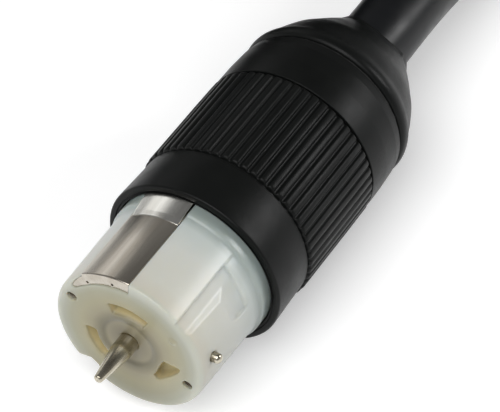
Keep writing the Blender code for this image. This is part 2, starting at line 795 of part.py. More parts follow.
def rounded_outline(half_width, half_height, corner, steps=5):
    """A rectangle with round corners as (x, y) points."""
    points = []
    for quarter in range(4):
        cx = (half_width - corner) * (1 if quarter in (0, 3) else -1)
        cy = (half_height - corner) * (1 if quarter in (0, 1) else -1)
        for step in range(steps + 1):
            angle = pi / 2 * (quarter + step / steps)
            points.append((cx + corner * cos(angle), cy + corner * sin(angle)))
    return points


def lofted_mesh(name, sections, steps=5):
    """Skins round-cornered sections of (z, half_width, half_height, corner)."""
    work = bmesh.new()
    rows = []
    for z, half_width, half_height, corner in sections:
        outline = rounded_outline(half_width, half_height, corner, steps)
        rows.append([work.verts.new((x, y, z)) for x, y in outline])
    for low, high in zip(rows, rows[1:]):
        for index in range(len(low)):
            after = (index + 1) % len(low)
            work.faces.new((low[index], low[after], high[after], high[index]))
    work.faces.new(rows[0])
    work.faces.new(rows[-1])
    return to_mesh(name, work)


def plug_strain_relief(look, parent):
    profile = [
        (0.0, 0.0),
        (14.0 * MM, 0.0),
        (17.5 * MM, RELIEF_LENGTH),
        (0.0, RELIEF_LENGTH),
    ]
    return turned("plug_strain_relief", profile, look, parent, 32, closed=False)


def plug_body(look, parent):
    """The hollow body, open at the front where the blade carrier sits."""
    z0 = RELIEF_LENGTH + GAP
    w = PLUG_HALF_WIDTH
    h = PLUG_HALF_HEIGHT
    outer = [
        (z0, 19.0 * MM, 19.0 * MM, 17.0 * MM),
        (z0 + 8.0 * MM, 24.0 * MM, 21.0 * MM, 15.0 * MM),
        (z0 + 18.0 * MM, w, h, 12.0 * MM),
        (PLUG_BODY_END, w, h, 12.0 * MM),
    ]
    body = add_object("plug_body", lofted_mesh("plug_body", outer), look, parent)
    wall = PLUG_WALL
    inner = [
        (z0 + 7.0 * MM, 18.0 * MM, 16.0 * MM, 12.0 * MM),
        (z0 + 19.0 * MM, w - wall, h - wall, 9.0 * MM),
        (PLUG_BODY_END + MM, w - wall, h - wall, 9.0 * MM),
    ]
    combine(body, "plug_hollow", lofted_mesh("plug_hollow", inner))
    for side, label in SIDES:
        start = Vector((side * (w - 6.0 * MM), 0, HANDLE_PIVOT_Z))
        end = Vector((side * (w + 2.0 * MM), 0, HANDLE_PIVOT_Z))
        combine(body, f"pivot_hole_{label}", rod_mesh("pivot_hole", 2.8 * MM, start, end))
    return body


def plug_face(look, parent):
    """The blade carrier that closes the body's front."""
    w = PLUG_HALF_WIDTH - PLUG_WALL - GAP
    h = PLUG_HALF_HEIGHT - PLUG_WALL - GAP
    z0 = PLUG_BODY_END - 10.0 * MM
    z1 = PLUG_BODY_END + 1.0 * MM
    corner = 8.7 * MM
    carrier = lofted_mesh("plug_face", [(z0, w, h, corner), (z1, w, h, corner)])
    made = add_object("plug_face", carrier, look, parent)
    for name, ((x, y), (half_x, half_y)) in BLADES.items():
        outline = rectangle(x - half_x - GAP, x + half_x + GAP, y - half_y - GAP, y + half_y + GAP)
        combine(made, name + "_slot", prism_mesh("slot", outline, z0 - MM, z1 + MM))
    x, y = GROUND_PIN_PLACE
    hole = rod_mesh("hole", GROUND_PIN_RADIUS + GAP, Vector((x, y, z0 - MM)), Vector((x, y, z1 + MM)))
    combine(made, "ground_pin_hole", hole)
    for side, label in SIDES:
        x = side * PLUG_SCREW_X
        hole = rod_mesh("hole", 2.6 * MM, Vector((x, 0, z0 - MM)), Vector((x, 0, z1 + MM)))
        combine(made, f"face_screw_hole_{label}", hole)
    return made


def plug_blades(look, ground_look, parent):
    """Two line blades, the neutral blade and the longer round ground pin."""
    z0 = PLUG_BODY_END - 22.0 * MM
    z1 = PLUG_BODY_END + BLADE_REACH
    for name, ((x, y), (half_x, half_y)) in BLADES.items():
        outline = rectangle(x - half_x, x + half_x, y - half_y, y + half_y)
        add_object(name, prism_mesh(name, outline, z0, z1), look, parent)
    x, y = GROUND_PIN_PLACE
    ends = (Vector((x, y, z0)), Vector((x, y, z1 + 3.0 * MM)))
    pin = rod_mesh("plug_ground_pin", GROUND_PIN_RADIUS, *ends)
    add_object("plug_ground_pin", pin, ground_look, parent)


def plug_face_screws(look, parent):
    z0 = PLUG_BODY_END - 16.0 * MM
    z1 = PLUG_BODY_END + 0.6 * MM
    for side, label in SIDES:
        x = side * PLUG_SCREW_X
        ends = (Vector((x, 0, z0)), Vector((x, 0, z1)))
        rod(f"plug_face_screw_{label}", 2.2 * MM, *ends, look, parent, 12)


def plug_handle(look, parent):
    """The folding pull handle, which turns about its empty's local X and rests above the cord."""
    pivot = bpy.data.objects.new("handle_pivot", None)
    bpy.context.scene.collection.objects.link(pivot)
    pivot.parent = parent
    pivot.location = (0.0, 0.0, HANDLE_PIVOT_Z)
    pivot.rotation_euler = (-HANDLE_REST_TILT, 0.0, 0.0)
    inner = HANDLE_INSIDE
    outer = inner + HANDLE_THICKNESS
    reach = HANDLE_REACH
    corner = 14.0 * MM
    steps = 5
    bow = []
    for x, radius in ((outer, corner), (inner, corner - HANDLE_THICKNESS)):
        end = reach if x == outer else reach - HANDLE_THICKNESS * 1.6
        right = []
        for step in range(steps + 1):
            angle = pi / 2 * step / steps
            right.append((x - radius + radius * cos(angle), -end + radius - radius * sin(angle)))
        line = [(x, 6.0 * MM)] + right
        line += [(-px, pz) for px, pz in reversed(line)]
        bow.append(line)
    outline = bow[0] + bow[1][::-1]
    mesh = prism_mesh("plug_handle", outline, -HANDLE_HALF_DEPTH, HANDLE_HALF_DEPTH)
    mesh.transform(Matrix.Rotation(pi / 2, 4, "X"))
    handle = add_object("plug_handle", mesh, look, pivot)
    for side, label in SIDES:
        start = Vector((side * (inner - MM), 0, 0))
        end = Vector((side * (outer + MM), 0, 0))
        combine(handle, f"handle_eye_{label}", rod_mesh("eye", 2.5 * MM, start, end))
    return handle


def handle_pivots(look, parent):
    """The two shouldered pins that carry the handle."""
    far = HANDLE_INSIDE + HANDLE_THICKNESS + 0.4 * MM
    for side, label in SIDES:
        start = Vector((side * (PLUG_HALF_WIDTH - 5.0 * MM), 0, HANDLE_PIVOT_Z))
        end = Vector((side * far, 0, HANDLE_PIVOT_Z))
        rod(f"handle_pivot_{label}", 2.2 * MM, start, end, look, parent)


# ---------------------------------------------------------------- assembly


def build_connector(looks):
    axis = axis_empty("connector_axis", (0.0, RING_FACE_Y, AXIS_HEIGHT), pi / 2)
    grip_housing(looks["black_body"], axis)
    rear_boot(looks["black_body"], axis)
    boot_gasket(looks["seal_rubber"], axis)
    nose_body(looks["nylon"], axis)
    for name, centre in zip(("line_contact_1", "line_contact_2", "neutral_contact"), SLOT_CENTRES):
        line_contact(name, centre, looks["brass"], axis)
    ground_strip(looks["nickel"], axis)
    ground_collar(looks["nickel"], axis)
    guide_pin(looks["nickel"], axis)
    guide_pin_nut(looks["steel"], axis)
    guide_pin_washer(looks["steel"], axis)
    detent_pin(looks["nickel"], axis)
    detent_spring(looks["steel"], axis)
    face_screws(looks["steel"], axis)
    terminal_block(looks["block_plastic"], axis)
    for name, angle in zip(("line_lug_1", "line_lug_2", "neutral_lug"), line_angles()):
        lug(name, angle, LUG_OUTER, looks["brass"], axis)
    lug("ground_lug", GROUND_LUG_ANGLE, STRIP_INNER - 0.8 * MM, looks["brass"], axis)
    terminal_screws(looks["steel"], axis)
    conductors(looks, axis)
    cord_clamp("cord_clamp_upper", 1, looks["block_plastic"], axis)
    cord_clamp("cord_clamp_lower", -1, looks["block_plastic"], axis)
    cord_clamp_screws(looks["steel"], axis)
    cord_grommet(looks["seal_rubber"], axis)
    cord_end(looks["cord_jacket"], axis)


def build_cord(looks):
    lead_spacing = 2.4 * CORD_RADIUS
    lead = smooth_through(lead_route(), lead_spacing)
    outer = COIL_OUTER_TURN + CORD_RADIUS
    meets = COIL_CENTRE.y - sqrt(outer ** 2 - (COIL_OUTER_TURN - CORD_RADIUS) ** 2) - 2 * GAP
    before = [point for point in lead if point.y < meets]
    after = lead[len(before)]
    part = (meets - before[-1].y) / (after.y - before[-1].y)
    before.append(before[-1].lerp(after, part))
    tube("cord_lead", before, CORD_RADIUS, looks["cord_jacket"])
    cord_coil(looks["cord_jacket"])
    tube("cord_tail", tail_route(), CORD_RADIUS, looks["cord_jacket"])
    coil_tie("coil_tie_left", radians(195.0), looks["webbing"])
    coil_tie("coil_tie_near", radians(285.0), looks["webbing"])


def build_plug(looks):
    end_angle = tail_start_angle() + TAIL_CLIMB_ANGLE
    heading = end_angle + pi / 2
    forward = Vector((cos(heading), sin(heading), 0.0))
    place = tail_point(end_angle) + forward * TAIL_STRAIGHT
    axis = axis_empty("plug_axis", place, heading)
    plug_strain_relief(looks["black_body"], axis)
    plug_body(looks["black_body"], axis)
    plug_face(looks["block_plastic"], axis)
    plug_blades(looks["brass"], looks["nickel"], axis)
    plug_face_screws(looks["steel"], axis)
    plug_handle(looks["black_body"], axis)
    handle_pivots(looks["steel"], axis)


def make_looks():
    return {
        "black_body": material("black_body", (0.012, 0.013, 0.013), 0.42),
        "seal_rubber": material("seal_rubber", (0.01, 0.01, 0.01), 0.8),
        "nylon": material("nylon", (0.78, 0.76, 0.68), 0.35),
        "nickel": material("nickel", (0.62, 0.60, 0.56), 0.25, 1.0),
        "steel": material("steel", (0.55, 0.55, 0.56), 0.35, 1.0),
        "brass": material("brass", (0.70, 0.52, 0.24), 0.35, 1.0),
        "block_plastic": material("block_plastic", (0.05, 0.05, 0.055), 0.5),
        "cord_jacket": material("cord_jacket", (0.012, 0.012, 0.013), 0.3),
        "webbing": material("webbing", (0.03, 0.03, 0.03), 0.9),
        "conductor_black": material("conductor_black", (0.02, 0.02, 0.02), 0.4),
        "conductor_red": material("conductor_red", (0.55, 0.03, 0.02), 0.4),
        "conductor_white": material("conductor_white", (0.8, 0.8, 0.78), 0.4),
        "conductor_green": material("conductor_green", (0.03, 0.3, 0.08), 0.4),
    }


def main():
    clear_scene()
    looks = make_looks()
    build_connector(looks)
    build_cord(looks)
    build_plug(looks)


main()
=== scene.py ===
"""Looks of the shore power cord: connector, coiled cord and far-end plug.

Metres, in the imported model's frame: the connector lies along Y and its cord leaves towards +Y.
Connector pieces are built from (radius, angle, s): s runs back from the front edge of the black
ring, and the angle is 0 at +X and 90 at the top.
"""

import json
from math import cos, pi, radians, sin, sqrt

import bmesh
import bpy
import numpy as np
from mathutils import Matrix, Vector


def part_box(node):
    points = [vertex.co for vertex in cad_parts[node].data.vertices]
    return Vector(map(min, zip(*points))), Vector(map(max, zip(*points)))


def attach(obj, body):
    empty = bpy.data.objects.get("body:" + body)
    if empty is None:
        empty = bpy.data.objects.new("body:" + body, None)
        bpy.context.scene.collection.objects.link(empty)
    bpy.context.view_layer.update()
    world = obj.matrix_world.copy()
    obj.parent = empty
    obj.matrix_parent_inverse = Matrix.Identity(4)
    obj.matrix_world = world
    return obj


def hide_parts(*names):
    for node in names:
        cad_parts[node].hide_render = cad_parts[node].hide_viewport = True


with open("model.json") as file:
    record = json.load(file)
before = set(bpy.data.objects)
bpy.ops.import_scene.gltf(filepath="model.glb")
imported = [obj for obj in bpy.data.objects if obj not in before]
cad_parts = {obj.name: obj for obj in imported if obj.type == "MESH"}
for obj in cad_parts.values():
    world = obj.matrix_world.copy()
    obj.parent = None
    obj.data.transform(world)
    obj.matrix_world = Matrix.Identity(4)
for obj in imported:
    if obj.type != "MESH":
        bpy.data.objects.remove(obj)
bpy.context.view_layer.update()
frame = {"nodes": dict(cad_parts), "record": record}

MM = 0.001
nodes = frame["nodes"]
record = frame["record"]

housing_low, housing_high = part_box("grip_housing")
RING_Y = housing_low.y
AXIS_Z = (housing_low.z + housing_high.z) / 2


# ---------------------------------------------------------------- camera

CAMERA_RIGHT = Vector((0.85310, 0.52175, 0.0))
CAMERA_UP = Vector((-0.38841, 0.63507, 0.66770))
CAMERA_AHEAD = Vector((-0.34837, 0.56962, -0.74443))
CAMERA_BACK = 0.900
CAMERA_SHIFT = (0.01751, 0.01781)
LENS = 210.48


def make_camera():
    data = bpy.data.cameras.new("camera")
    data.lens = LENS
    data.sensor_width = 36.0
    data.clip_start = 0.01
    data.clip_end = 20.0
    camera = bpy.data.objects.new("camera", data)
    bpy.context.scene.collection.objects.link(camera)
    turn = Matrix((CAMERA_RIGHT, CAMERA_UP, -CAMERA_AHEAD)).transposed().to_4x4()
    ring = Vector((0.0, RING_Y, AXIS_Z))
    right, up = CAMERA_SHIFT
    place = ring + CAMERA_RIGHT * right + CAMERA_UP * up - CAMERA_AHEAD * CAMERA_BACK
    camera.matrix_world = Matrix.Translation(place) @ turn
    bpy.context.scene.camera = camera


make_camera()


# ---------------------------------------------------------------- mesh tools


def link(name, mesh):
    made = bpy.data.objects.new(name, mesh)
    bpy.context.scene.collection.objects.link(made)
    return made


def smooth(mesh, sharp=None):
    mesh.shade_smooth()
    if sharp is not None:
        mesh.set_sharp_from_angle(angle=radians(sharp))


def grid_mesh(name, rows, around=True, along=False, cap=False):
    """Skins an array of points [row, column, xyz]; around closes the columns, along the rows."""
    rows = np.asarray(rows, float)
    count, width = rows.shape[:2]
    index = np.arange(count * width).reshape(count, width)
    low = index if along else index[:-1]
    high = np.roll(index, -1, 0) if along else index[1:]
    if around:
        quads = [low, np.roll(low, -1, 1), np.roll(high, -1, 1), high]
    else:
        quads = [low[:, :-1], low[:, 1:], high[:, 1:], high[:, :-1]]
    faces = np.stack(quads, -1).reshape(-1, 4).tolist()
    if cap:
        faces += [index[0, ::-1].tolist(), index[-1].tolist()]
    mesh = bpy.data.meshes.new(name)
    mesh.from_pydata(rows.reshape(-1, 3).tolist(), [], faces)
    mesh.update()
    return mesh


def outward(mesh, fill=False):
    """Merges doubled points, fills holes if asked to, and turns every face of a mesh outwards."""
    work = bmesh.new()
    work.from_mesh(mesh)
    bmesh.ops.remove_doubles(work, verts=work.verts, dist=1e-6)
    if fill:
        bmesh.ops.holes_fill(work, edges=[edge for edge in work.edges if edge.is_boundary])
    bmesh.ops.recalc_face_normals(work, faces=work.faces)
    work.to_mesh(mesh)
    work.free()
    return mesh


def solid(name, rows, along=False):
    """The mesh of a closed body: its rows of points join in a loop, or are capped at both ends."""
    return outward(grid_mesh(name, rows, along=along, cap=not along))


def skin(name, rows, sharp, along=False):
    """A closed skin over rows of points, linked and shaded."""
    made = link(name, solid(name, rows, along))
    smooth(made.data, sharp)
    return made


def polar(radius, angle, s):
    """World points of the connector from radius and s in millimetres and the angle in degrees."""
    turn = np.radians(angle)
    radius, turn, s = np.broadcast_arrays(radius * MM, turn, s * MM)
    return np.stack([radius * np.cos(turn), RING_Y + s, AXIS_Z + radius * np.sin(turn)], -1)


def fillet(points, radii, steps=5):
    """Rounds the corners of an open polyline of 2-D points."""
    points = [np.array(p, float) for p in points]
    out = [points[0]]
    for before, corner, after, radius in zip(points, points[1:], points[2:], radii):
        if radius <= 0:
            out.append(corner)
            continue
        to_before = (before - corner) / np.linalg.norm(before - corner)
        to_after = (after - corner) / np.linalg.norm(after - corner)
        half = np.arccos(np.clip(to_before @ to_after, -1, 1)) / 2
        room = 0.49 * min(np.linalg.norm(before - corner), np.linalg.norm(after - corner))
        back = min(radius / np.tan(half), room)
        start, end = corner + to_before * back, corner + to_after * back
        for step in range(steps + 1):
            t = step / steps
            out.append((1 - t) ** 2 * start + 2 * t * (1 - t) * corner + t * t * end)
    out.append(points[-1])
    return np.array(out)


def eased(xs, ys, at):
    """A smooth monotone curve through the points (xs, ys), read at the places in at."""
    xs, ys, at = np.asarray(xs, float), np.asarray(ys, float), np.asarray(at, float)
    slope = np.diff(ys) / np.diff(xs)
    tangent = np.zeros(len(xs))
    tangent[1:-1] = np.where(
        slope[:-1] * slope[1:] > 0,
        2 * slope[:-1] * slope[1:] / np.where(slope[:-1] + slope[1:] == 0, 1, slope[:-1] + slope[1:]),
        0.0,
    )
    tangent[0], tangent[-1] = slope[0], slope[-1]
    k = np.clip(np.searchsorted(xs, at) - 1, 0, len(xs) - 2)
    h = xs[k + 1] - xs[k]
    t = np.clip((at - xs[k]) / h, 0, 1)
    return (
        (1 + 2 * t) * (1 - t) ** 2 * ys[k] + t * (1 - t) ** 2 * h * tangent[k]
        + t * t * (3 - 2 * t) * ys[k + 1] + t * t * (t - 1) * h * tangent[k + 1]
    )


def turned(name, profile, steps, place):
    """Turns (radius, z) points in millimetres; place maps the piece's metres to world points."""
    turn = np.arange(steps) * 2 * pi / steps
    rows = [
        place(np.stack([r * np.cos(turn), r * np.sin(turn), np.full(steps, z)], -1))
        for r, z in np.asarray(profile) * MM
    ]
    return outward(grid_mesh(name, rows))


def matrix_place(matrix):
    m = np.array(matrix)
    return lambda points: points @ m[:3, :3].T + m[:3, 3]


CONNECTOR = Matrix.Translation((0.0, RING_Y, AXIS_Z)) @ Matrix.Rotation(-pi / 2, 4, "X")
on_axis = matrix_place(CONNECTOR)


def finished(obj):
    """Applies every modifier of obj and gives it the resulting mesh."""
    bpy.context.view_layer.update()
    depsgraph = bpy.context.evaluated_depsgraph_get()
    mesh = bpy.data.meshes.new_from_object(obj.evaluated_get(depsgraph))
    obj.modifiers.clear()
    obj.data = mesh
    return obj


def prism(name, outline, z0, z1, place):
    """An outline in millimetres, drawn out from z0 to z1."""
    ends = [place(np.array([(x, y, z) for x, y in outline]) * MM) for z in (z0, z1)]
    return solid(name, ends)


def rod_outline(x, y, radius, steps=40):
    return [(x + radius * cos(2 * pi * k / steps), y + radius * sin(2 * pi * k / steps)) for k in range(steps)]


def ring_slice(name, rows, steps=24):
    """A slice of ring of the connector whose (inner, outer, start, end, s) changes from row to row."""
    made = []
    for inner, outer, start, end, s in rows:
        angles = np.linspace(start, end, steps + 1)
        made.append(np.concatenate([polar(outer, angles, s), polar(inner, angles[::-1], s)]))
    return solid(name, made)


def sector(name, inner, outer, start, end, s0, s1, steps=24):
    """A plain slice of ring from s0 to s1."""
    return ring_slice(name, [(inner, outer, start, end, s) for s in (s0, s1)], steps)


def boolean(target, mesh, operation="DIFFERENCE"):
    helper = link("helper", mesh)
    step = target.modifiers.new("cut", "BOOLEAN")
    step.operation = operation
    step.solver = "EXACT"
    step.object = helper
    finished(target)
    bpy.data.objects.remove(helper, do_unlink=True)


def moulded(target, voxel, rounds):
    """Remeshes a cut solid finely and relaxes it, which rounds every edge as a mould does."""
    remesh = target.modifiers.new("remesh", "REMESH")
    remesh.mode = "VOXEL"
    remesh.voxel_size = voxel
    relax = target.modifiers.new("relax", "SMOOTH")
    relax.factor = 0.5
    relax.iterations = rounds
    finished(target)
    smooth(target.data)


# ---------------------------------------------------------------- materials


def set_stops(ramp, stops):
    """Gives a colour ramp its (position, colour) stops."""
    while len(ramp.elements) < len(stops):
        ramp.elements.new(0.5)
    for element, (position, colour) in zip(ramp.elements, stops):
        element.position = position
        element.color = (*colour, 1.0)


def shades(base, dark, light):
    """Ramp stops from a darker to a lighter shade of the base colour."""
    return [(0.3, tuple(c * dark for c in base)), (0.7, tuple(c * light for c in base))]


class Look:
    """A small helper that builds a node material."""

    def __init__(self, name, colour, roughness, metallic=0.0, **sockets):
        self.material = bpy.data.materials.new(name)
        self.material.use_nodes = True
        self.tree = self.material.node_tree
        self.shader = self.tree.nodes["Principled BSDF"]
        self.set("Base Color", (*colour, 1.0))
        self.set("Roughness", roughness)
        self.set("Metallic", metallic)
        for socket, value in sockets.items():
            self.set(socket.replace("_", " "), value)

    def set(self, socket, value):
        self.shader.inputs[socket].default_value = value

    def node(self, kind, **settings):
        made = self.tree.nodes.new(kind)
        for key, value in settings.items():
            setattr(made, key, value)
        return made

    def join(self, out, into):
        self.tree.links.new(out, into)

    def places(self, scale=(1.0, 1.0, 1.0)):
        """Object coordinates, which are world metres here, stretched by scale."""
        coordinates = self.node("ShaderNodeTexCoord")
        mapping = self.node("ShaderNodeMapping")
        mapping.inputs["Scale"].default_value = scale
        self.join(coordinates.outputs["Object"], mapping.inputs["Vector"])
        return mapping.outputs["Vector"]

    def noise(self, size, detail=3.0, stretch=(1.0, 1.0, 1.0), rough=0.55):
        """Noise with features about size metres across."""
        made = self.node("ShaderNodeTexNoise")
        made.inputs["Scale"].default_value = 1.0 / size
        made.inputs["Detail"].default_value = detail
        made.inputs["Roughness"].default_value = rough
        self.join(self.places(stretch), made.inputs["Vector"])
        return made.outputs["Fac"]

    def ramp(self, value, stops):
        made = self.node("ShaderNodeValToRGB")
        set_stops(made.color_ramp, stops)
        self.join(value, made.inputs["Fac"])
        return made.outputs["Color"]

    def remap(self, value, span, low=0.0, high=1.0, interpolation="LINEAR"):
        made = self.node("ShaderNodeMapRange", interpolation_type=interpolation)
        for socket, number in zip(("From Min", "From Max", "To Min", "To Max"), (*span, low, high)):
            made.inputs[socket].default_value = number
        self.join(value, made.inputs["Value"])
        return made.outputs["Result"]

    def mix(self, factor, a, b, blend="MIX"):
        made = self.node("ShaderNodeMix", data_type="RGBA", blend_type=blend)
        for socket, value in (("Factor", factor), ("A", a), ("B", b)):
            spot = next(s for s in made.inputs if s.name == socket and s.enabled)
            if isinstance(value, float):
                spot.default_value = value
            elif isinstance(value, tuple):
                spot.default_value = (*value, 1.0)
            else:
                self.join(value, spot)
        return next(s for s in made.outputs if s.enabled)

    def bump(self, heights):
        """Stacks bumps from (value, strength, distance)."""
        last = None
        for value, strength, distance in heights:
            made = self.node("ShaderNodeBump")
            made.inputs["Strength"].default_value = strength
            made.inputs["Distance"].default_value = distance
            self.join(value, made.inputs["Height"])
            if last is not None:
                self.join(last, made.inputs["Normal"])
            last = made.outputs["Normal"]
        self.join(last, self.shader.inputs["Normal"])

    def tint(self, value, stops):
        self.join(self.ramp(value, stops), self.shader.inputs["Base Color"])

    def gloss(self, value, low, high, span=(0.3, 0.7)):
        self.join(self.remap(value, span, low, high), self.shader.inputs["Roughness"])


def black_plastic(name, base, low, high, grain=0.00022, depth=0.00006):
    """Satin moulded plastic: a fine sparked texture, faint flow marks and rubbed places."""
    look = Look(name, base, (low + high) / 2, Specular_IOR_Level=0.13)
    fine = look.noise(grain, 2.0, rough=0.6)
    look.tint(look.noise(0.018, 2.0), shades(base, 0.82, 1.25))
    look.gloss(look.noise(0.006, 4.0), low, high)
    look.bump([(fine, 0.6, depth), (look.noise(0.0012, 2.0), 0.15, depth)])
    return look.material


def rubber(name, base, low, high):
    look = Look(name, base, (low + high) / 2)
    look.tint(look.noise(0.004, 4.0), shades(base, 0.7, 1.4))
    look.gloss(look.noise(0.002, 3.0), low, high)
    look.bump([(look.noise(0.0004, 2.0), 0.4, 0.00006)])
    return look.material


def metal(name, dark, light, low, high, streak=(1, 1, 1), size=0.0025):
    """Plated or drawn metal: streaks along one way, faint stains and fine scratches."""
    look = Look(name, light, (low + high) / 2, 1.0)
    streaks = look.noise(size, 3.0, streak)
    look.tint(look.noise(size * 1.6, 4.0, streak), [(0.3, dark), (0.65, light)])
    look.gloss(streaks, low, high)
    look.bump([(streaks, 0.10, 0.00004), (look.noise(0.0004, 2.0), 0.04, 0.00002)])
    return look.material


def nylon_look():
    """Translucent nylon: ivory on the face and paler behind; a brighter khaki glow painted in the slots, and
    painted shade beside the ring, towards the bottom and over the face, darkest round the centre pin.
    """
    look = Look("nylon", (0.74, 0.73, 0.66), 0.32, Subsurface_Weight=0.6, Subsurface_Scale=0.005)
    look.set("Subsurface Radius", (1.0, 0.86, 0.62))
    place = look.node("ShaderNodeSeparateXYZ")
    look.join(look.places(), place.inputs["Vector"])

    def within(value, start, end, origin=0.0):
        """0 at start and 1 at end, both in millimetres from the origin in metres."""
        return look.remap(value, (origin + start * MM, origin + end * MM), interpolation="SMOOTHSTEP")

    def maths(operation, a, b=0.0):
        made = look.node("ShaderNodeMath", operation=operation)
        for socket, value in zip(made.inputs, (a, b)):
            if isinstance(value, float):
                socket.default_value = value
            else:
                look.join(value, socket)
        return made.outputs["Value"]

    height = maths("SUBTRACT", place.outputs["Z"], AXIS_Z)
    squares = [maths("POWER", value, 2.0) for value in (place.outputs["X"], height)]
    radius = maths("SQRT", maths("ADD", *squares))
    along = place.outputs["Y"]
    # The side's last stop is painted shade on the nose beside the black ring; the earlier stops are the nylon's
    # own tones.
    side = look.ramp(
        within(along, -37.0, -1.0, RING_Y),
        [(0.0, (0.595, 0.575, 0.500)), (0.1, (0.620, 0.620, 0.560)), (0.6, (0.610, 0.622, 0.585)),
         (0.90, (0.540, 0.585, 0.570)), (1.0, (0.30, 0.350, 0.335))],
    )
    # Painted shade: the sides are darkened towards the bottom of the nose.
    underside_shade = look.ramp(within(height, -22.0, 20.0), [(0.0, (0.45, 0.45, 0.44)), (1.0, (0.92, 0.92, 0.92))])
    side = look.mix(1.0, side, underside_shade, "MULTIPLY")
    # The face is painted darker than the sides and darker still towards the centre, as shade on the face and
    # round the pin and its dish; its ivory tint is the nylon's own.
    face = look.ramp(
        within(radius, 2.5, 27.0),
        [(0.0, (0.07, 0.06, 0.040)), (0.10, (0.145, 0.130, 0.085)), (0.24, (0.185, 0.168, 0.108)),
         (0.40, (0.295, 0.268, 0.178)), (0.62, (0.34, 0.315, 0.205)), (0.82, (0.335, 0.325, 0.235)),
         (0.93, (0.37, 0.375, 0.31)), (1.0, (0.48, 0.495, 0.445))],
    )
    # Painted shade: the face is darkened towards the bottom.
    face_foot_shade = look.ramp(within(height, -26.0, -8.0), [(0.0, (0.70, 0.68, 0.60)), (1.0, (1.0, 1.0, 1.0))])
    face = look.mix(1.0, face, face_foot_shade, "MULTIPLY")
    body = look.mix(within(along, -34.6, -36.6, RING_Y), side, face)
    # Painted glow: faces sunk more than about 1.5 mm into the face, inside 17.6 mm radius, get a brighter khaki
    # that stands in for light coming through the nylon.
    slot_glow_mask = maths("MULTIPLY", within(along, -36.6, -35.2, RING_Y), within(radius, 18.6, 17.6))
    body = look.mix(slot_glow_mask, body, (0.52, 0.45, 0.26))
    cloud = look.ramp(look.noise(0.011, 3.0), [(0.0, (0.93, 0.925, 0.90)), (1.0, (1.0, 1.0, 1.0))])
    look.join(look.mix(1.0, body, cloud, "MULTIPLY"), look.shader.inputs["Base Color"])
    look.gloss(look.noise(0.010, 3.0), 0.285, 0.37, (0.0, 1.0))
    look.bump([(look.noise(0.008, 2.0), 0.12, 0.0003), (look.noise(0.0007, 2.0), 0.04, 0.00003)])
    return look.material


def jacket_look():
    """Glossy flexible jacket with faint drawn lines and a dusting of handling marks."""
    look = Look("cord_jacket", (0.010, 0.011, 0.012), 0.3, Specular_IOR_Level=0.25)
    look.tint(look.noise(0.02, 4.0), [(0.3, (0.003, 0.0035, 0.004)), (0.7, (0.006, 0.0065, 0.0075))])
    look.gloss(look.noise(0.007, 5.0), 0.285, 0.42)
    look.bump([(look.noise(0.0016, 3.0), 0.10, 0.00006), (look.noise(0.012, 2.0), 0.18, 0.0003)])
    return look.material


def webbing_look():
    """Woven hook-and-loop strap: crossing threads with a soft sheen."""
    look = Look("webbing", (0.022, 0.022, 0.024), 0.85, Sheen_Weight=0.35, Sheen_Roughness=0.5)
    threads = []
    for direction in ("X", "Y", "Z"):
        wave = look.node("ShaderNodeTexWave", bands_direction=direction)
        wave.inputs["Scale"].default_value = 170.0
        wave.inputs["Distortion"].default_value = 0.6
        look.join(look.places(), wave.inputs["Vector"])
        threads.append(wave.outputs["Fac"])
    cross = look.mix(0.5, look.mix(0.5, threads[0], threads[1]), threads[2])
    fuzz = look.noise(0.0006, 4.0)
    look.tint(fuzz, [(0.3, (0.012, 0.012, 0.013)), (0.7, (0.040, 0.040, 0.043))])
    look.bump([(cross, 0.8, 0.0003), (fuzz, 0.5, 0.0002)])
    return look.material


def insulation(name, base):
    look = Look(name, base, 0.4)
    look.tint(look.noise(0.004, 3.0), shades(base, 0.85, 1.0))
    look.gloss(look.noise(0.002, 3.0), 0.32, 0.48)
    look.bump([(look.noise(0.0008, 2.0), 0.15, 0.00005)])
    return look.material


looks = {
    "black_body": black_plastic("black_body", (0.0040, 0.0045, 0.0042), 0.33, 0.42),
    "plug_black": black_plastic("plug_black", (0.0050, 0.0052, 0.0055), 0.38, 0.50, 0.0003),
    "seal_rubber": rubber("seal_rubber", (0.006, 0.006, 0.006), 0.6, 0.85),
    "nylon": nylon_look(),
    "nickel": metal("nickel", (0.66, 0.64, 0.58), (0.86, 0.85, 0.80), 0.17, 0.265, (1, 0.06, 1)),
    "strip_metal": metal("strip_metal", (0.45, 0.405, 0.34), (0.60, 0.565, 0.50), 0.18, 0.265, (1, 0.05, 1)),
    "pin_metal": metal("pin_metal", (0.30, 0.27, 0.205), (0.58, 0.54, 0.44), 0.19, 0.265, (1, 0.03, 1), 0.0009),
    "screw_metal": metal("screw_metal", (0.12, 0.09, 0.07), (0.30, 0.26, 0.22), 0.285, 0.45),
    "steel": metal("steel", (0.36, 0.35, 0.34), (0.58, 0.58, 0.58), 0.285, 0.42),
    "brass": metal("brass", (0.52, 0.36, 0.15), (0.80, 0.62, 0.30), 0.285, 0.40, (0.1, 1, 1)),
    "block_plastic": black_plastic("block_plastic", (0.030, 0.031, 0.034), 0.45, 0.60, 0.0003),
    "cord_jacket": jacket_look(),
    "webbing": webbing_look(),
    "conductor_black": insulation("conductor_black", (0.015, 0.015, 0.016)),
    "conductor_red": insulation("conductor_red", (0.50, 0.03, 0.02)),
    "conductor_white": insulation("conductor_white", (0.78, 0.78, 0.75)),
    "conductor_green": insulation("conductor_green", (0.03, 0.28, 0.08)),
}


def show(obj, look, slot, *replaced, body="cord_set"):
    """Finishes a piece: its material, body and the CAD nodes that it stands for. The slot argument is not used.
    """
    obj.data.materials.clear()
    obj.data.materials.append(looks[look])
    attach(obj, body)
    if replaced:
        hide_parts(*replaced)
    return obj


slots = {part["node"]: part["material_slot"] for part in record["subparts"]}
for name, node in nodes.items():
    node.data.materials.clear()
    node.data.materials.append(looks[slots[name]])


# ---------------------------------------------------------------- cord

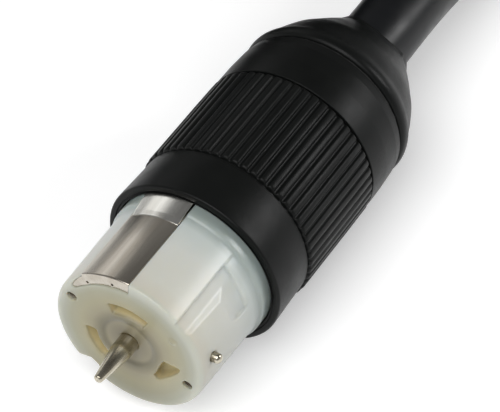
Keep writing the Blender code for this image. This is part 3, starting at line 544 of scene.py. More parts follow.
CORD_RADIUS = 12.5 * MM
CORD_PITCH = 26.0 * MM
LAYER_PITCH = 25.0 * MM
OUTER_TURN = 174.6 * MM
LAYER_TURNS = 2.56
CLIMB = radians(110.0)
LAST_TURN = 118.0 * MM
TAIL_CLIMB = radians(121.0)
TAIL_STRAIGHT = 50.0 * MM
CORD_STEP = 4.0 * MM
CORE_SWELL = 0.14 * MM
CORE_LAY = 0.42
BASE = 2.1 * MM + CORD_RADIUS
PLUG_HEIGHT = 99.4 * MM
COIL_CENTRE = Vector((-OUTER_TURN, 297.0 * MM + RING_Y, 0.0))
EXIT = Vector((0.0, RING_Y + 107.8 * MM, AXIS_Z))


def smooth_step(part):
    return part * part * (3 - 2 * part)


def smooth_through(points, spacing):
    """Points at the given spacing on a Catmull-Rom curve through listed points."""
    padded = [2 * points[0] - points[1], *points, 2 * points[-1] - points[-2]]
    line = [points[0].copy()]
    for a, b, c, d in zip(padded, padded[1:], padded[2:], padded[3:]):
        count = max(1, round((c - b).length / spacing))
        for step in range(1, count + 1):
            t = step / count
            bend = (2 * a - 5 * b + 4 * c - d) * t * t + (3 * b - a - 3 * c + d) * t ** 3
            line.append(b + ((c - a) * t + bend) / 2)
    return line


def lead_points():
    """Straight out of the boot, down in a long easy bow, then along the floor to the coil."""
    route = [
        (-0.2, 18, AXIS_Z), (-0.4, 36, AXIS_Z - 0.9 * MM), (-0.4, 60, AXIS_Z - 3.9 * MM),
        (-0.2, 84, AXIS_Z - 8.4 * MM), (0, 108, BASE + 4.2 * MM), (0, 132, BASE + 1.2 * MM), (0, 156, BASE),
    ]
    points = [Vector((side * MM, EXIT.y + ahead * MM, height)) for side, ahead, height in route]
    return [EXIT.copy(), *points, Vector((0.0, COIL_CENTRE.y, BASE))]


def coil_points():
    """Three layers wound inwards, outwards and inwards again, then the tail up to the plug."""
    layer = 2 * pi * LAYER_TURNS
    inner = OUTER_TURN - CORD_PITCH * LAYER_TURNS
    last = 2 * pi * (OUTER_TURN - LAST_TURN) / CORD_PITCH
    stages = [
        (layer, OUTER_TURN, inner, 0, 0),
        (CLIMB, inner, inner, 0, 1),
        (layer, inner, OUTER_TURN, 1, 1),
        (CLIMB, OUTER_TURN, OUTER_TURN, 1, 2),
        (last, OUTER_TURN, LAST_TURN, 2, 2),
    ]
    angle = 0.0
    line = []
    for sweep, r0, r1, layer0, layer1 in stages:
        count = max(2, round(sweep * (r0 + r1) / 2 / CORD_STEP))
        for k in range(count):
            part = k / count
            radius = r0 + (r1 - r0) * part
            height = BASE + LAYER_PITCH * (layer0 + (layer1 - layer0) * smooth_step(part))
            turn = angle + sweep * part
            line.append(COIL_CENTRE + Vector((radius * cos(turn), radius * sin(turn), height)))
        angle += sweep
    low = BASE + 2 * LAYER_PITCH
    count = round(TAIL_CLIMB * LAST_TURN / CORD_STEP)
    for k in range(count + 1):
        part = k / count
        turn = angle + TAIL_CLIMB * part
        height = low + (PLUG_HEIGHT - low) * smooth_step(part)
        line.append(COIL_CENTRE + Vector((LAST_TURN * cos(turn), LAST_TURN * sin(turn), height)))
    heading = Vector((-sin(angle + TAIL_CLIMB), cos(angle + TAIL_CLIMB), 0.0))
    end = line[-1]
    for k in range(1, 13):
        line.append(end + heading * TAIL_STRAIGHT * k / 12)
    return line


def framed(points):
    """Tangent, side and up at each point, with the side turned as little as possible."""
    points = np.array(points, float)
    tangents = np.gradient(points, axis=0)
    tangents /= np.linalg.norm(tangents, axis=1)[:, None]
    sides = np.zeros_like(points)
    side = np.cross(tangents[0], (0.0, 0.0, 1.0))
    for k, tangent in enumerate(tangents):
        side = side - tangent * (side @ tangent)
        side /= np.linalg.norm(side)
        sides[k] = side
    return points, tangents, sides, np.cross(sides, tangents)


cord_line = smooth_through(lead_points(), CORD_STEP)[:-1] + coil_points()


def make_cord():
    """The jacket as one tube; its surface rises and falls a little over the four cores inside."""
    inside = [EXIT - Vector((0, 7.0 * MM, 0)), EXIT - Vector((0, 3.5 * MM, 0))]
    points, _, sides, ups = framed(inside + cord_line)
    columns = 28
    turn = np.arange(columns) * 2 * pi / columns
    run = np.concatenate([[0], np.cumsum(np.linalg.norm(np.diff(points, axis=0), axis=1))])
    swell = CORE_SWELL * np.cos(4 * (turn[None, :] - 2 * pi * run[:, None] / CORE_LAY) + 0.9)
    reach = CORD_RADIUS - CORE_SWELL + swell
    rows = (
        points[:, None, :]
        + sides[:, None, :] * (reach * np.cos(turn))[..., None]
        + ups[:, None, :] * (reach * np.sin(turn))[..., None]
    )
    cord = skin("cord", rows, 60)
    cad_tubes = ("cord_lead", "cord_coil", "cord_tail", "cord_end")
    return show(cord, "cord_jacket", "cord_jacket", *cad_tubes)


cord = make_cord()


# ---------------------------------------------------------------- housing

RIBS = 56
RIB_SHAPE = (  # height over one rib and one gap
    (0.000, 1.00), (0.110, 0.99), (0.200, 0.94), (0.255, 0.84), (0.300, 0.67), (0.335, 0.40),
    (0.370, 0.16), (0.410, 0.03), (0.500, 0.00), (0.590, 0.03), (0.630, 0.16), (0.665, 0.42),
    (0.700, 0.67), (0.745, 0.84), (0.800, 0.94), (0.890, 0.99),
)


def make_housing():
    """Front ring, ribbed grip and rear ring as one skin, with rounded moulded edges."""
    angles = np.concatenate([(k + np.array([u for u, _ in RIB_SHAPE])) * 360 / RIBS for k in range(RIBS)])
    heights = np.tile([h for _, h in RIB_SHAPE], RIBS)
    front = fillet(
        [(28.0, 14.0), (28.0, 0.0), (28.35, 0.0), (28.35, 0.5), (28.9, 0.5), (28.9, 0.0), (31.0, 0.0),
         (30.35, 18.0), (29.9, 18.3), (29.9, 18.5)],
        (0.12, 0.1, 0.1, 0.12, 0.3, 0.9, 0.35, 0.0, 0.0),
    )
    rows = [polar(r, angles, s) for r, s in front]
    floor = [29.9, 30.1, 30.3, 30.35, 30.35, 30.35, 30.35, 30.35, 30.3, 30.1, 29.9]
    top = [29.95, 30.55, 30.95, 31.15, 31.25, 31.25, 31.25, 31.2, 31.0, 30.6, 29.95]
    ends = [18.7, 18.75, 18.95, 19.25, 19.8, 30.0, 46.0, 56.1, 56.6, 56.95, 57.1]
    for low, high, s in zip(floor, top, ends):
        rows.append(polar(low + (high - low) * heights, angles, s))
    rear = fillet(
        [(29.9, 57.25), (29.95, 57.4), (30.95, 57.45), (30.9, 66.0), (30.5, 73.0), (29.9, 76.7), (28.6, 76.7),
         (28.0, 76.7), (28.0, 60.0)],
        (0.05, 0.35, 4.0, 4.0, 0.7, 0.1, 0.2),
    )
    rows += [polar(r, angles, s) for r, s in rear]
    housing = skin("housing_skin", rows, 50, along=True)
    return show(housing, "black_body", "black_body", "grip_housing")


NECK_NEAR = 65.0  # the angle at which the boot's neck is shortest


def make_boot():
    """The tapering rear cover. Its neck is cut like a saddle and carries two small ridges."""
    columns = 240
    angles = np.arange(columns) * 360 / columns
    near = np.cos(np.radians(angles - NECK_NEAR)) ** 2
    end = 110.3 * (1 - near) + 106.4 * near
    side_s = [78.9, 79.6, 80.8, 84.0, 88.0, 92.0, 96.0, 100.0, 104.0, 106.0, 108.0, 110.3]
    side_r = [30.42, 30.48, 30.30, 28.85, 27.2, 25.35, 22.8, 20.2, 17.5, 16.1, 14.8, 13.45]
    near_s = [78.9, 79.6, 80.8, 84.0, 88.0, 92.0, 96.0, 100.0, 102.0, 104.0, 106.4]
    near_r = [30.42, 30.48, 30.30, 28.85, 27.2, 25.2, 22.3, 19.3, 17.6, 15.8, 13.35]
    shoulder = [(27.7, 60.0), (27.7, 77.25), (28.6, 77.27), (29.2, 77.36), (29.7, 77.58), (30.05, 77.92)]
    rows = [polar(r, angles, s) for r, s in [*shoulder, (30.3, 78.38)]]
    ridge = np.zeros(columns)
    for centre in (24.0, 204.0):
        away = (angles - centre + 180) % 360 - 180
        ridge += np.exp(-(away / 3.2) ** 2)
    for t in np.linspace(0, 1, 64):
        s = 78.9 + (end - 78.9) * t
        r = eased(side_s, side_r, s) * (1 - near) + eased(near_s, near_r, np.minimum(s, 106.4)) * near
        rise = np.clip((t - 0.74) / 0.12, 0, 1)
        rows.append(polar(r + 0.55 * ridge * rise * (1 - near), angles, s))
    mouth = [(13.15, end + 0.05), (12.75, end - 0.25), (12.75, 101.0)]
    inside = [(16.9, 101.0), (16.9, 92.8), (20.2, 91.6), (22.6, 87.0), (25.2, 79.0), (25.2, 60.0)]
    rows += [polar(r, angles, s) for r, s in mouth + inside]
    boot = skin("boot_skin", rows, 40, along=True)
    return show(boot, "black_body", "black_body", "rear_boot")


# ---------------------------------------------------------------- nose

NOSE_FRONT = -36.8
FACE_ON = matrix_place(Matrix.Translation((0.0, RING_Y, AXIS_Z)) @ Matrix.Rotation(pi / 2, 4, "X"))


def cylinder(name, radius, centre_radius, angle, s0, s1, steps=32, end_radius=None):
    """A round helper that runs along the connector."""
    turn = np.arange(steps) * 2 * pi / steps
    cx, cz = centre_radius * cos(radians(angle)), centre_radius * sin(radians(angle))
    rows = []
    for r, s in ((radius, s0), (end_radius or radius, s1)):
        x, z = (cx + r * np.cos(turn)) * MM, (cz + r * np.sin(turn)) * MM
        rows.append(np.stack([x, np.full(steps, RING_Y + s * MM), AXIS_Z + z], -1))
    return solid(name, rows)


def radial_place(angle, s):
    """The place of a piece that points outwards from the axis."""
    out = Vector((cos(radians(angle)), 0.0, sin(radians(angle))))
    turn = out.to_track_quat("Z", "Y").to_matrix().to_4x4()
    return matrix_place(Matrix.Translation((0.0, RING_Y + s * MM, AXIS_Z)) @ turn)


def plate(name, corners, s0, s1):
    """A flat plate square to the axis, from its (radius, angle) corners."""
    outline = [(r * cos(radians(a)), r * sin(radians(a))) for r, a in corners]
    return prism(name, outline, -s1, -s0, FACE_ON)


def cut_groove(nose, corners, leg_start, leg_end, leg_floor):
    """A channel along the nose with sloped walls, and the leg that the mating lug turns into."""
    boolean(nose, plate("channel", corners, -40.0, -10.0))
    shallow = leg_floor + 1.3
    rows = [
        (shallow, 31.0, leg_end + 7, leg_start, -20.5),
        (leg_floor + 0.5, 31.0, leg_end + 2, leg_start, -17.5),
        (leg_floor, 31.0, leg_end, leg_start, -15.0),
        (leg_floor, 31.0, leg_end, leg_start, -11.0),
        (shallow, 31.0, leg_end + 2, leg_start, -9.6),
    ]
    boolean(nose, ring_slice("leg", rows))


LIP = [(26.0, 126.4), (25.8, 131.0), (25.2, 137.0), (24.6, 142.0), (23.9, 143.6), (23.3, 141.5)]
LIP += [(23.0, 137.0), (22.9, 132.0), (22.9, 126.4)]
LEDGE = [(32.0, 88.0), (32.0, 127.6), (26.3, 128.5), (25.9, 132.0), (25.4, 138.0), (24.8, 143.0)]
LEDGE += [(24.0, 144.8), (23.1, 142.0), (22.8, 137.0)] + [(22.7, angle) for angle in range(132, 87, -4)]
LIP_HOLES = ((102.0, 23.5), (126.0, 23.3))
SLOT_FUNNEL = ((11.3, 15.7, 0.0, -1.0), (11.4, 15.6, 0.3, 0.4), (12.4, 14.8, 2.5, 3.2), (12.5, 14.7, 2.5, 4.0))
FACE_SCREWS = (155.0, -18.4)
SCREW_SPOT = 22.0
DETENT_ANGLE = 6.8
DETENT_S = -30.0


def make_nose():
    """The nylon nose, cut out of a turned blank and then relaxed so that its edges are moulded."""
    blank = fillet(
        [(0.0, NOSE_FRONT), (26.3, NOSE_FRONT), (26.8, -5.2), (27.6, -4.1), (27.6, 12.0), (0.0, 12.0)],
        (2.3, 0.3, 0.3, 0.0),
        9,
    )
    nose = link("nose", turned("nose", blank, 128, on_axis))
    boolean(nose, sector("land", 18, 27.05, 49.0, 88.0, NOSE_FRONT + 0.02, -4.6), "UNION")
    for start, end in ((61.0, 117.0), (184.0, 233.0)):
        funnel = [(r0, r1, start + inset, end - inset, NOSE_FRONT + s) for r0, r1, inset, s in SLOT_FUNNEL]
        boolean(nose, ring_slice("slot", funnel))
        boolean(nose, sector("chamber", 10.2, 16.8, start, end, -31, 13))
    hooked = [(15.1, 312.0), (15.5, 321.0), (16.1, 331.0), (16.9, 341.0), (18.0, 349.0), (18.5, 356.5)]
    hooked += [(12.6, 356.5), (12.0, 347.0), (11.8, 338.0), (12.0, 330.0), (12.6, 321.0), (13.0, 312.0)]
    boolean(nose, plate("hooked_slot", hooked, -38.0, NOSE_FRONT + 3.8))
    boolean(nose, sector("chamber", 10.2, 16.8, 308.0, 357.5, -31, 13))
    cut_groove(nose, [(25.9, 49.0), (25.7, 39.5), (27.3, 31.0), (31.0, 31.0), (31.0, 49.0)], 44.0, 13.0, 25.7)
    cut_groove(
        nose,
        [(31.0, 249.0), (27.4, 248.0), (21.3, 238.0), (21.3, 229.0), (27.4, 219.5), (31.0, 218.5)],
        235.0, 205.0, 24.9,
    )
    boolean(nose, sector("recess", 26.0, 32, 88.0, 127.6, -38, 13))
    boolean(nose, plate("ledge", LEDGE, -38.0, NOSE_FRONT + 1.1))
    for angle, inner in LIP_HOLES:
        boolean(nose, sector("pit", inner, inner + 0.9, angle - 1.1, angle + 1.1, -38, -32, 3))
    boolean(nose, cylinder("dish", 12.6, 0, 0, NOSE_FRONT - 1, NOSE_FRONT + 0.6, 64, 8.0))
    boolean(nose, cylinder("bore", 3.3, 0, 0, NOSE_FRONT - 1, 13, 48))
    for angle in FACE_SCREWS:
        boolean(nose, cylinder("hole", 1.75, SCREW_SPOT, angle, NOSE_FRONT - 1, 13))
    detent_hole = prism("detent", rod_outline(0, 0, 1.75, 24), 18.0, 30.0, radial_place(DETENT_ANGLE, DETENT_S))
    boolean(nose, detent_hole)
    boolean(nose, cylinder("mark", 0.95, 19.4, 33.5, NOSE_FRONT - 0.5, NOSE_FRONT + 1, 24, 1.0), "UNION")
    moulded(nose, 0.36 * MM, 3)
    return show(nose, "nylon", "nylon", "nose_body")


def swept_sheet(name, angles, outer_rows, thickness):
    """A bent metal sheet from its outer side's (radius, s) rows; thickness goes inwards."""
    line = np.array(outer_rows, float)
    run = np.gradient(line, axis=0)
    run /= np.linalg.norm(run, axis=1)[:, None]
    inner = line + np.stack([run[:, 1], -run[:, 0]], -1) * thickness
    profile = np.concatenate([line, inner[::-1]])
    rows = [polar(r, angles, s) for r, s in profile]
    return outward(grid_mesh(name, rows, around=False, along=True), fill=True)


def bevelled(obj, width, segments=2, angle=40.0):
    bevel = obj.modifiers.new("bevel", "BEVEL")
    bevel.width = width
    bevel.segments = segments
    bevel.limit_method = "ANGLE"
    bevel.angle_limit = radians(angle)
    finished(obj)
    smooth(obj.data, 40)
    return obj


def make_strip():
    """The earth strip with its rolled front edge, its turned-in lip and two small holes."""
    outline = fillet([(26.9, 12.0), (26.9, -20.0), (26.9, -36.35), (22.9, -36.35)], (0.0, 0.75), 8)
    angles = np.linspace(88.4, 127.2, 60)
    strip = link("earth_strip", swept_sheet("earth_strip", angles, outline, 0.6))
    boolean(strip, plate("lip", LIP, -36.35, -35.75), "UNION")
    for angle, inner in LIP_HOLES:
        boolean(strip, sector("pit", inner, inner + 0.9, angle - 1, angle + 1, -38, -35, 3))
    bevelled(strip, 0.12 * MM)
    boolean(strip, sector("tail", 26.3, 26.85, 113.0, 126.7, 11.0, 43.0, 10), "UNION")
    smooth(strip.data, 40)
    return show(strip, "strip_metal", "nickel", "ground_strip")


def make_collar():
    """The bright raised band where the strip runs in under the ring."""
    outline = fillet(
        [(28.3, 4.0), (28.35, -0.4), (27.45, -6.9), (27.1, -8.3), (26.98, -9.0)],
        (1.0, 1.5, 0.5),
        6,
    )
    angles = np.linspace(88.8, 125.5, 50)
    collar = link("earth_collar", swept_sheet("earth_collar", angles, outline, 0.32))
    bevelled(collar, 0.08 * MM)
    return show(collar, "nickel", "nickel", "ground_collar")


def make_guide_pin():
    tip = fillet(
        [(0.0, -53.1), (0.45, -53.45), (1.0, -53.55), (1.42, -53.1), (3.3, -41.0), (3.3, 38.0), (0.0, 38.0)],
        (0.15, 0.3, 0.35, 5.0, 0.3),
        6,
    )
    pin = link("centre_pin", turned("centre_pin", tip, 72, on_axis))
    smooth(pin.data, 45)
    return show(pin, "pin_metal", "nickel", "guide_pin")


def make_detent():
    """The side pin with its domed end."""
    profile = [(0.0, 23.6), (1.65, 23.6), (1.65, 27.9)]
    profile += [(1.65 * cos(pi / 2 * k / 9), 27.9 + 1.3 * sin(pi / 2 * k / 9)) for k in range(1, 9)]
    profile += [(0.0, 29.2)]
    pin = link("side_pin", turned("side_pin", profile, 40, radial_place(DETENT_ANGLE, DETENT_S)))
    smooth(pin.data, 50)
    return show(pin, "pin_metal", "nickel", "detent_pin", body="detent")


def box_outline(x, y, half_x, half_y):
    return [(x + a * half_x, y + b * half_y) for a, b in ((-1, -1), (1, -1), (1, 1), (-1, 1))]


def screw_mesh(name, place, radius, head_z, end_z, slot_half, slot_depth):
    """A screw with a slightly domed, slotted head at head_z and a plain shank to end_z."""
    away = 1 if end_z > head_z else -1
    dome = [(0.0, 0.0), (0.7, 0.08), (0.93, 0.25), (1.0, 0.55)]
    profile = [(share * radius, head_z + drop * away) for share, drop in dome] + [(radius, end_z), (0.0, end_z)]
    screw = link(name, turned(name, profile, 40, place))
    low, high = sorted((head_z - away, head_z + slot_depth * away))
    boolean(screw, prism("slot", box_outline(0, 0, 2 * radius, slot_half), low, high, place))
    smooth(screw.data, 35)
    return screw


def make_face_screws():
    for index, angle in enumerate(FACE_SCREWS, 1):
        spot = Vector((SCREW_SPOT * MM * cos(radians(angle)), 0.0, SCREW_SPOT * MM * sin(radians(angle))))
        turn = Matrix.Rotation(radians(35.0 + angle), 4, "Z")
        place = matrix_place(Matrix.Translation(spot) @ CONNECTOR @ turn)
        screw = screw_mesh(f"nose_screw_{index}", place, 1.5, NOSE_FRONT + 0.9, 28.0, 0.25, 0.6)
        show(screw, "screw_metal", "steel", f"face_screw_{index}")


make_housing()
make_boot()
make_nose()
make_strip()
make_collar()
make_guide_pin()
make_detent()
make_face_screws()


# ---------------------------------------------------------------- ties

TIE_WIDTH = 25.0 * MM
TIE_THICKNESS = 1.5 * MM


def hull(points):
    """The convex outline of 2-D points, anticlockwise."""
    points = sorted(set(map(tuple, np.round(points, 7))))

    def half(line):
        out = []
        for p in line:
            while len(out) > 1 and (
                (out[-1][0] - out[-2][0]) * (p[1] - out[-2][1])
                - (out[-1][1] - out[-2][1]) * (p[0] - out[-2][0])
            ) <= 0:
                out.pop()
            out.append(p)
        return out

    low, high = half(points), half(points[::-1])
    return np.array(low[:-1] + high[:-1])


def crossings(angle):
    """Where the cord's line crosses the half-plane at this angle round the coil: (radius, z)."""
    line = np.array(cord_line) - np.array(COIL_CENTRE)
    side = -line[:, 0] * sin(angle) + line[:, 1] * cos(angle)
    ahead = line[:, 0] * cos(angle) + line[:, 1] * sin(angle)
    found = []
    for k in np.nonzero(side[:-1] * side[1:] <= 0)[0]:
        if ahead[k] < 0.05:
            continue
        part = side[k] / (side[k] - side[k + 1])
        spot = line[k] + (line[k + 1] - line[k]) * part
        found.append((np.hypot(spot[0], spot[1]), spot[2]))
    return found


def spaced(line, count):
    """count points at equal distances round a closed 2-D line."""
    closed = np.concatenate([line, line[:1]])
    run = np.concatenate([[0], np.cumsum(np.linalg.norm(np.diff(closed, axis=0), axis=1))])
    at = np.arange(count) * run[-1] / count
    return np.stack([np.interp(at, run, closed[:, k]) for k in (0, 1)], -1)


def make_tie(name, angle, node):
    """A strap pulled tight round every turn, with its end pressed back onto itself."""
    turn = np.linspace(0, 2 * pi, 60, endpoint=False)
    reach = CORD_RADIUS + 0.25 * MM
    discs = []
    for offset in (-0.07, 0.0, 0.07):
        for radius, z in crossings(angle + offset):
            if z < 0.085:
                discs.append(np.stack([radius + reach * np.cos(turn), z + reach * np.sin(turn)], -1))
    inner = spaced(hull(np.concatenate(discs)), 220)
    for _ in range(3):
        inner = (np.roll(inner, 1, 0) + 2 * inner + np.roll(inner, -1, 0)) / 4
    tangent = np.roll(inner, -1, 0) - np.roll(inner, 1, 0)
    tangent /= np.linalg.norm(tangent, axis=1)[:, None]
    normal = np.stack([tangent[:, 1], -tangent[:, 0]], -1)
    ahead = np.array((cos(angle), sin(angle), 0.0))
    beside = np.array((-sin(angle), cos(angle), 0.0))
    centre = np.array(COIL_CENTRE)

    def lift(line, across):
        flat = line[:, 0:1] * ahead + line[:, 1:2] * np.array((0.0, 0.0, 1.0)) + centre
        return flat + across * beside

    def band(label, path, out, half, thickness, closed):
        section = [(-half, 0.25), (-half + 0.4 * MM, 0.0), (half - 0.4 * MM, 0.0), (half, 0.25),
                   (half, 0.75), (half - 0.5 * MM, 1.0), (half * 0.6, 1.03), (0.0, 0.97), (-half * 0.6, 1.03),
                   (-half + 0.5 * MM, 1.0), (-half, 0.75)]
        rows = np.stack([lift(path + out * thickness * h, across) for across, h in section], 1)
        return solid(label, rows, closed)

    strap = link(name, band(name, inner, normal, TIE_WIDTH / 2, TIE_THICKNESS, True))
    smooth(strap.data, 50)
    show(strap, "webbing", "webbing", node)

    top = np.argmax(inner[:, 1] * 0.6 + inner[:, 0])
    pick = [(top + k) % len(inner) for k in range(-16, 30)]
    path = inner[pick] + normal[pick] * (TIE_THICKNESS * 1.02)
    lifted = np.clip((np.arange(len(pick)) - 40) / 5.0, 0, 1)[:, None]
    path = path + normal[pick] * (0.5 * MM * lifted ** 2)
    flap = link(name + "_end", band(name + "_end", path, normal[pick], TIE_WIDTH * 0.46, 1.2 * MM, False))
    smooth(flap.data, 50)
    show(flap, "webbing", "webbing")


make_tie("tie_left", radians(195.0), "coil_tie_left")
make_tie("tie_near", radians(285.0), "coil_tie_near")


# ---------------------------------------------------------------- far-end plug

hinge = next(joint for joint in record["behaviour"]["joints"] if joint["name"] == "handle_hinge")
plug_x = -Vector(hinge["axis"]).normalized()
plug_y = Vector((0.0, 0.0, -1.0))
plug_z = plug_x.cross(plug_y)
HANDLE_PIVOT = 56.0 * MM
HANDLE_TILT = radians(30.0)
plug_spot = Vector(hinge["pos_m"]) - plug_z * HANDLE_PIVOT
PLUG = Matrix.Translation(plug_spot) @ Matrix((plug_x, plug_y, plug_z)).transposed().to_4x4()
on_plug = matrix_place(PLUG)


def rounded_rect(half_x, half_y, corner, steps):
    """Points round a rectangle with round corners."""
    out = []
    for quarter in range(4):
        cx = (half_x - corner) * (1 if quarter in (0, 3) else -1)
        cy = (half_y - corner) * (1 if quarter in (0, 1) else -1)
        for step in range(steps + 1):
            a = pi / 2 * (quarter + step / steps)
            out.append((cx + corner * cos(a), cy + corner * sin(a)))
    return np.array(out)


def level(outline, z):
    """World points of an outline at a height of the plug, both in millimetres."""
    return on_plug(np.column_stack([outline, np.full(len(outline), z)]) * MM)


def make_relief():
    """The tapered strain relief with its flexing slots."""
    columns = 96
    turn = np.arange(columns) * 2 * pi / columns
    ring = np.stack([np.cos(turn), np.sin(turn)], -1)
    rows = []
    for z in np.concatenate([[0.0, 0.3, 0.7], np.linspace(1.2, 26.2, 101)]):
        r = 13.4 + (17.4 - 13.4) * z / 26.0 + 0.5 * np.clip(z / 0.8, 0, 1) - 0.3
        phase = (z - 3.0) / 4.4
        inside = 3.0 < z < 23.6
        dip = 1.5 * np.clip(np.sin(2 * pi * (phase % 1.0) - pi / 2) * 2.2 - 0.2, 0, 1) if inside else 0.0
        half = int(phase) % 2
        bridge = 0.5 + 0.5 * np.cos(2 * turn + pi * half)
        depth = dip * np.clip(1.35 - 1.6 * bridge ** 3, 0.0, 1.0)
        rows.append(level((r - depth)[:, None] * ring, z))
    mouth = [level(12.6 * ring, z) for z in (1.0, 0.0)]
    relief = skin("relief", mouth + rows, 55)
    return show(relief, "plug_black", "black_body", "plug_strain_relief")


def make_plug_shell():
    """The plug's hollow body: a neck that swells into a broad grip with side grooves and a rim."""
    columns = 192
    zs = [26.3, 27.0, 30.0, 34.3, 39.0, 44.3, 50.0, 60.0, 76.0, 84.0]
    xs = [17.8, 18.9, 20.6, 24.0, 28.6, 32.3, 32.9, 32.9, 32.95, 33.0]
    ys = [17.8, 18.9, 20.0, 21.0, 21.6, 21.9, 21.95, 21.9, 21.95, 22.0]
    cs = [16.5, 17.0, 16.6, 15.0, 13.4, 12.2, 12.0, 12.0, 12.0, 12.0]
    rows = []
    for z in np.concatenate([[26.3, 26.5, 26.8], np.linspace(27.4, 82.6, 112), [83.2, 83.6, 83.85, 84.0]]):
        half_x, half_y = float(eased(zs, xs, z)), float(eased(zs, ys, z))
        corner = float(eased(zs, cs, z))
        inset = 0.9 * max(0.0, (z - 83.1) / 0.9) ** 2 + 0.7 * max(0.0, (27.0 - z) / 0.7) ** 2
        outline = spaced(rounded_rect(half_x - inset, half_y - inset, corner - inset, 12), columns)
        flat = np.clip((np.abs(outline[:, 0]) / half_x - 0.86) / 0.1, 0, 1) * (np.abs(outline[:, 1]) < 13)
        wave = 0.5 - 0.5 * np.cos(2 * pi * (z - 63.5) / 3.4)
        groove = 0.55 * wave * flat if 63.5 < z < 80.5 else 0.0 * flat
        top = np.clip((np.abs(outline[:, 1]) / half_y - 0.9) / 0.08, 0, 1) * (np.abs(outline[:, 0]) < 17)
        panel = 0.45 * np.clip((z - 47.0) / 0.8, 0, 1) * np.clip((77.0 - z) / 0.8, 0, 1)
        panel = panel * np.clip((17.0 - np.abs(outline[:, 0])) / 0.8, 0, 1) * top
        seam = 0.22 * np.exp(-(outline[:, 1] / 0.28) ** 2) * (np.abs(outline[:, 0]) > 10)
        shrink = 1.0 - (groove + panel + seam) / np.hypot(outline[:, 0], outline[:, 1])
        rows.append(level(outline * shrink[:, None], z))
    for half_x, half_y, corner, z in (
        (30.6, 19.6, 9.6, 84.0), (30.05, 19.05, 9.0, 83.5), (30.0, 19.0, 9.0, 46.0), (18.0, 16.0, 12.0, 33.5),
    ):
        rows.append(level(spaced(rounded_rect(half_x, half_y, corner, 12), columns), z))
    shell = skin("plug_shell", rows, 40)
    return show(shell, "plug_black", "black_body", "plug_body")


PLUG_SCREW_X = 24.0
EARTH_PIN_Y = 11.5
BLADES = {
    "plug_blade_line_1": ((-12.7, 1.0), (0.85, 7.1)),
    "plug_blade_line_2": ((12.7, 1.0), (0.85, 7.1)),
    "plug_blade_neutral": ((0.0, -12.0), (0.85, 4.8)),
}
BLADE_TIP = ((62.0, 0, 0), (105.6, 0, 0), (107.4, 0.15, 0.9), (108.6, 0.4, 2.0), (109.0, 0.55, 2.6))


def make_plug_front():
    """The blade carrier: a plate with a raised island, blade slots and sunk screw seats."""
    front = link("plug_front", prism("plug_front", rounded_rect(29.7, 18.7, 8.7, 10), 74.0, 84.4, on_plug))
    boolean(front, prism("island", rounded_rect(17.2, 17.0, 6.0, 8), 80.0, 85.0, on_plug), "UNION")
    holes = [box_outline(x, y, half_x + 0.2, half_y + 0.2) for (x, y), (half_x, half_y) in BLADES.values()]
    holes += [rod_outline(0, EARTH_PIN_Y, 3.5), *[rod_outline(side * PLUG_SCREW_X, 0, 2.5) for side in (-1, 1)]]
    for hole in holes:
        boolean(front, prism("hole", hole, 73, 86, on_plug))
    bevelled(front, 0.3 * MM, 2, 50)
    return show(front, "block_plastic", "block_plastic", "plug_face")


def make_blades():
    """Flat blades with chamfered tips, and the round earth pin."""
    for name, ((x, y), (half_x, half_y)) in BLADES.items():
        outline = rounded_rect(half_x, half_y, 0.3, 3) + np.array((x, y))
        rows = []
        for z, inset_x, inset_y in BLADE_TIP:
            shape = (outline - (x, y)) * (1 - inset_x / half_x, 1 - inset_y / half_y) + (x, y)
            rows.append(level(shape, z))
        piece = skin(name.replace("plug_", "far_"), rows, 30)
        show(piece, "brass", "brass", name)
    profile = fillet([(0.0, 112.0), (3.3, 112.0), (3.3, 62.0), (0.0, 62.0)], (2.6, 0.2), 8)
    place = matrix_place(PLUG @ Matrix.Translation((0.0, EARTH_PIN_Y * MM, 0.0)))
    pin = link("far_earth_pin", turned("far_earth_pin", profile, 48, place))
    smooth(pin.data, 45)
    show(pin, "nickel", "nickel", "plug_ground_pin")


def make_plug_screws():
    for side, label in ((-1, "left"), (1, "right")):
        spot = Matrix.Translation((side * PLUG_SCREW_X * MM, 0.0, 0.0))
        place = matrix_place(PLUG @ spot @ Matrix.Rotation(0.6 * side, 4, "Z"))
        screw = screw_mesh(f"far_screw_{label}", place, 2.2, 84.6, 68.0, 0.35, 0.8)
        show(screw, "steel", "steel", f"plug_face_screw_{label}")


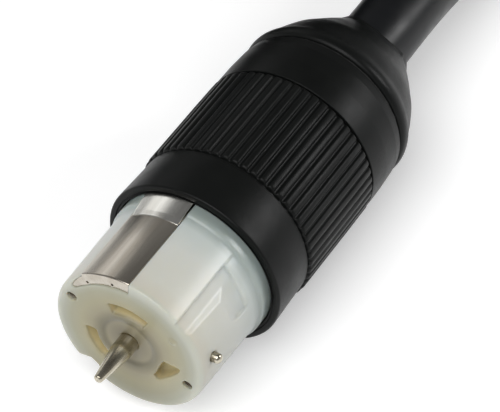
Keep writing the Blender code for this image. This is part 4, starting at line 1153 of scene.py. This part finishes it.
def make_handle():
    """The folding pull handle: a bow of rounded section with an eye at each end."""
    inner, thick = 33.8, 4.2
    middle = inner + thick / 2
    corner = 11.9
    reach = 62.0 - 3.3
    path = [(middle, 0.0)]
    for k in range(13):
        a = pi / 2 * k / 12
        path.append((middle - corner + corner * cos(a), -reach + corner - corner * sin(a)))
    line = np.array(path + [(-x, z) for x, z in reversed(path)])
    run = np.concatenate([[0], np.cumsum(np.linalg.norm(np.diff(line, axis=0), axis=1))])
    at = np.linspace(0, run[-1], 150)
    line = np.stack([np.interp(at, run, line[:, k]) for k in (0, 1)], -1)
    tangent = np.gradient(line, axis=0)
    tangent /= np.linalg.norm(tangent, axis=1)[:, None]
    normal = np.stack([tangent[:, 1], -tangent[:, 0]], -1)
    pivot = PLUG @ Matrix.Translation((0, 0, HANDLE_PIVOT)) @ Matrix.Rotation(-HANDLE_TILT, 4, "X")
    place = matrix_place(pivot)
    columns = 32
    rows = []
    for k in range(len(line)):
        share = abs(2 * k / (len(line) - 1) - 1)
        grip = smooth_step(float(np.clip((0.42 - share) / 0.12, 0, 1)))
        half_n, half_y = 2.05 + 0.95 * grip, 4.9
        section = spaced(rounded_rect(half_n, half_y, 1.7 + 0.9 * grip, 5), columns)
        ridge = 0.22 * np.cos(2 * pi * at[k] / 3.6) * grip
        section = section * (1 - ridge / 8)
        flat = line[k] + normal[k] * section[:, 0:1]
        rows.append(place(np.column_stack([flat[:, 0], section[:, 1], flat[:, 1]]) * MM))
    bow = link("pull_handle", solid("pull_handle", rows))
    turn = Matrix.Rotation(pi / 2, 4, "Y")
    eyes = [matrix_place(pivot @ Matrix.Translation((side * middle * MM, 0, 0)) @ turn) for side in (-1, 1)]
    disc = fillet([(0.0, -2.05), (5.6, -2.05), (5.6, 2.05), (0.0, 2.05)], (0.5, 0.5), 4)
    for eye in eyes:
        boolean(bow, turned("eye", disc, 40, eye), "UNION")
    for eye in eyes:
        boolean(bow, prism("hole", rod_outline(0, 0, 2.45), -4, 4, eye))
    smooth(bow.data, 40)
    return show(bow, "plug_black", "black_body", "plug_handle", body="handle")


def make_pivots():
    for side, label in ((-1, "left"), (1, "right")):
        turn = Matrix.Rotation(side * pi / 2, 4, "Y")
        place = matrix_place(PLUG @ Matrix.Translation((0, 0, HANDLE_PIVOT)) @ turn)
        pivot = screw_mesh(f"handle_pin_{label}", place, 2.2, 38.35, 28.0, 0.3, 0.6)
        show(pivot, "steel", "steel", f"handle_pivot_{label}")


make_relief()
make_plug_shell()
make_plug_front()
make_blades()
make_plug_screws()
make_handle()
make_pivots()


# ---------------------------------------------------------------- stage and light

FLOOR_HALF = 8.0


def make_floor():
    look = Look("floor_paper", (0.90, 0.90, 0.90), 0.9)
    look.set("Emission Color", (1.0, 1.0, 1.0, 1.0))
    look.set("Emission Strength", 0.28)
    look.tint(look.noise(0.05, 3.0), [(0.3, (0.89, 0.89, 0.89)), (0.7, (0.91, 0.91, 0.91))])
    mesh = bpy.data.meshes.new("floor")
    corners = [(x, y, 0) for x, y in box_outline(0, 0, FLOOR_HALF, FLOOR_HALF)]
    mesh.from_pydata(corners, [], [(0, 1, 2, 3)])
    floor = link("floor", mesh)
    floor.data.materials.append(look.material)


def make_light(name, direction, distance, size, radiance):
    """A soft area light of the given radiance that faces the connector."""
    data = bpy.data.lights.new(name, "AREA")
    data.shape = "RECTANGLE"
    data.size, data.size_y = size
    data.energy = radiance * pi * size[0] * size[1]
    lamp = bpy.data.objects.new(name, data)
    bpy.context.scene.collection.objects.link(lamp)
    aim = Vector(direction).normalized()
    lamp.location = Vector((0.0, 0.0, AXIS_Z)) + aim * distance
    lamp.rotation_mode = "QUATERNION"
    lamp.rotation_quaternion = aim.to_track_quat("Z", "Y")


def make_world():
    """A dim studio: lighter towards the horizon and darker overhead."""
    world = bpy.data.worlds.new("studio")
    world.use_nodes = True
    tree = world.node_tree
    background = tree.nodes["Background"]
    coordinates = tree.nodes.new("ShaderNodeTexCoord")
    parts = tree.nodes.new("ShaderNodeSeparateXYZ")
    ramp = tree.nodes.new("ShaderNodeValToRGB")
    tree.links.new(coordinates.outputs["Generated"], parts.inputs["Vector"])
    tree.links.new(parts.outputs["Z"], ramp.inputs["Fac"])
    tree.links.new(ramp.outputs["Color"], background.inputs["Color"])
    set_stops(ramp.color_ramp, [
        (0.0, (0.66, 0.68, 0.70)), (0.06, (0.50, 0.51, 0.52)), (0.16, (0.33, 0.33, 0.33)),
        (0.50, (0.24, 0.24, 0.24)), (0.74, (0.16, 0.16, 0.16)), (1.0, (0.10, 0.10, 0.105)),
    ])
    background.inputs["Strength"].default_value = 1.0
    bpy.context.scene.world = world


make_floor()
make_world()
make_light("softbox_key", (0.0, -0.52, 0.85), 1.6, (1.3, 1.3), 4.4)
make_light("softbox_right", (0.673, 0.570, 0.472), 1.3, (0.28, 0.44), 15.0)
make_light("softbox_left", (-0.80, 0.36, 0.47), 1.3, (0.5, 0.6), 0.75)
bpy.context.scene.view_settings.view_transform = "Standard"
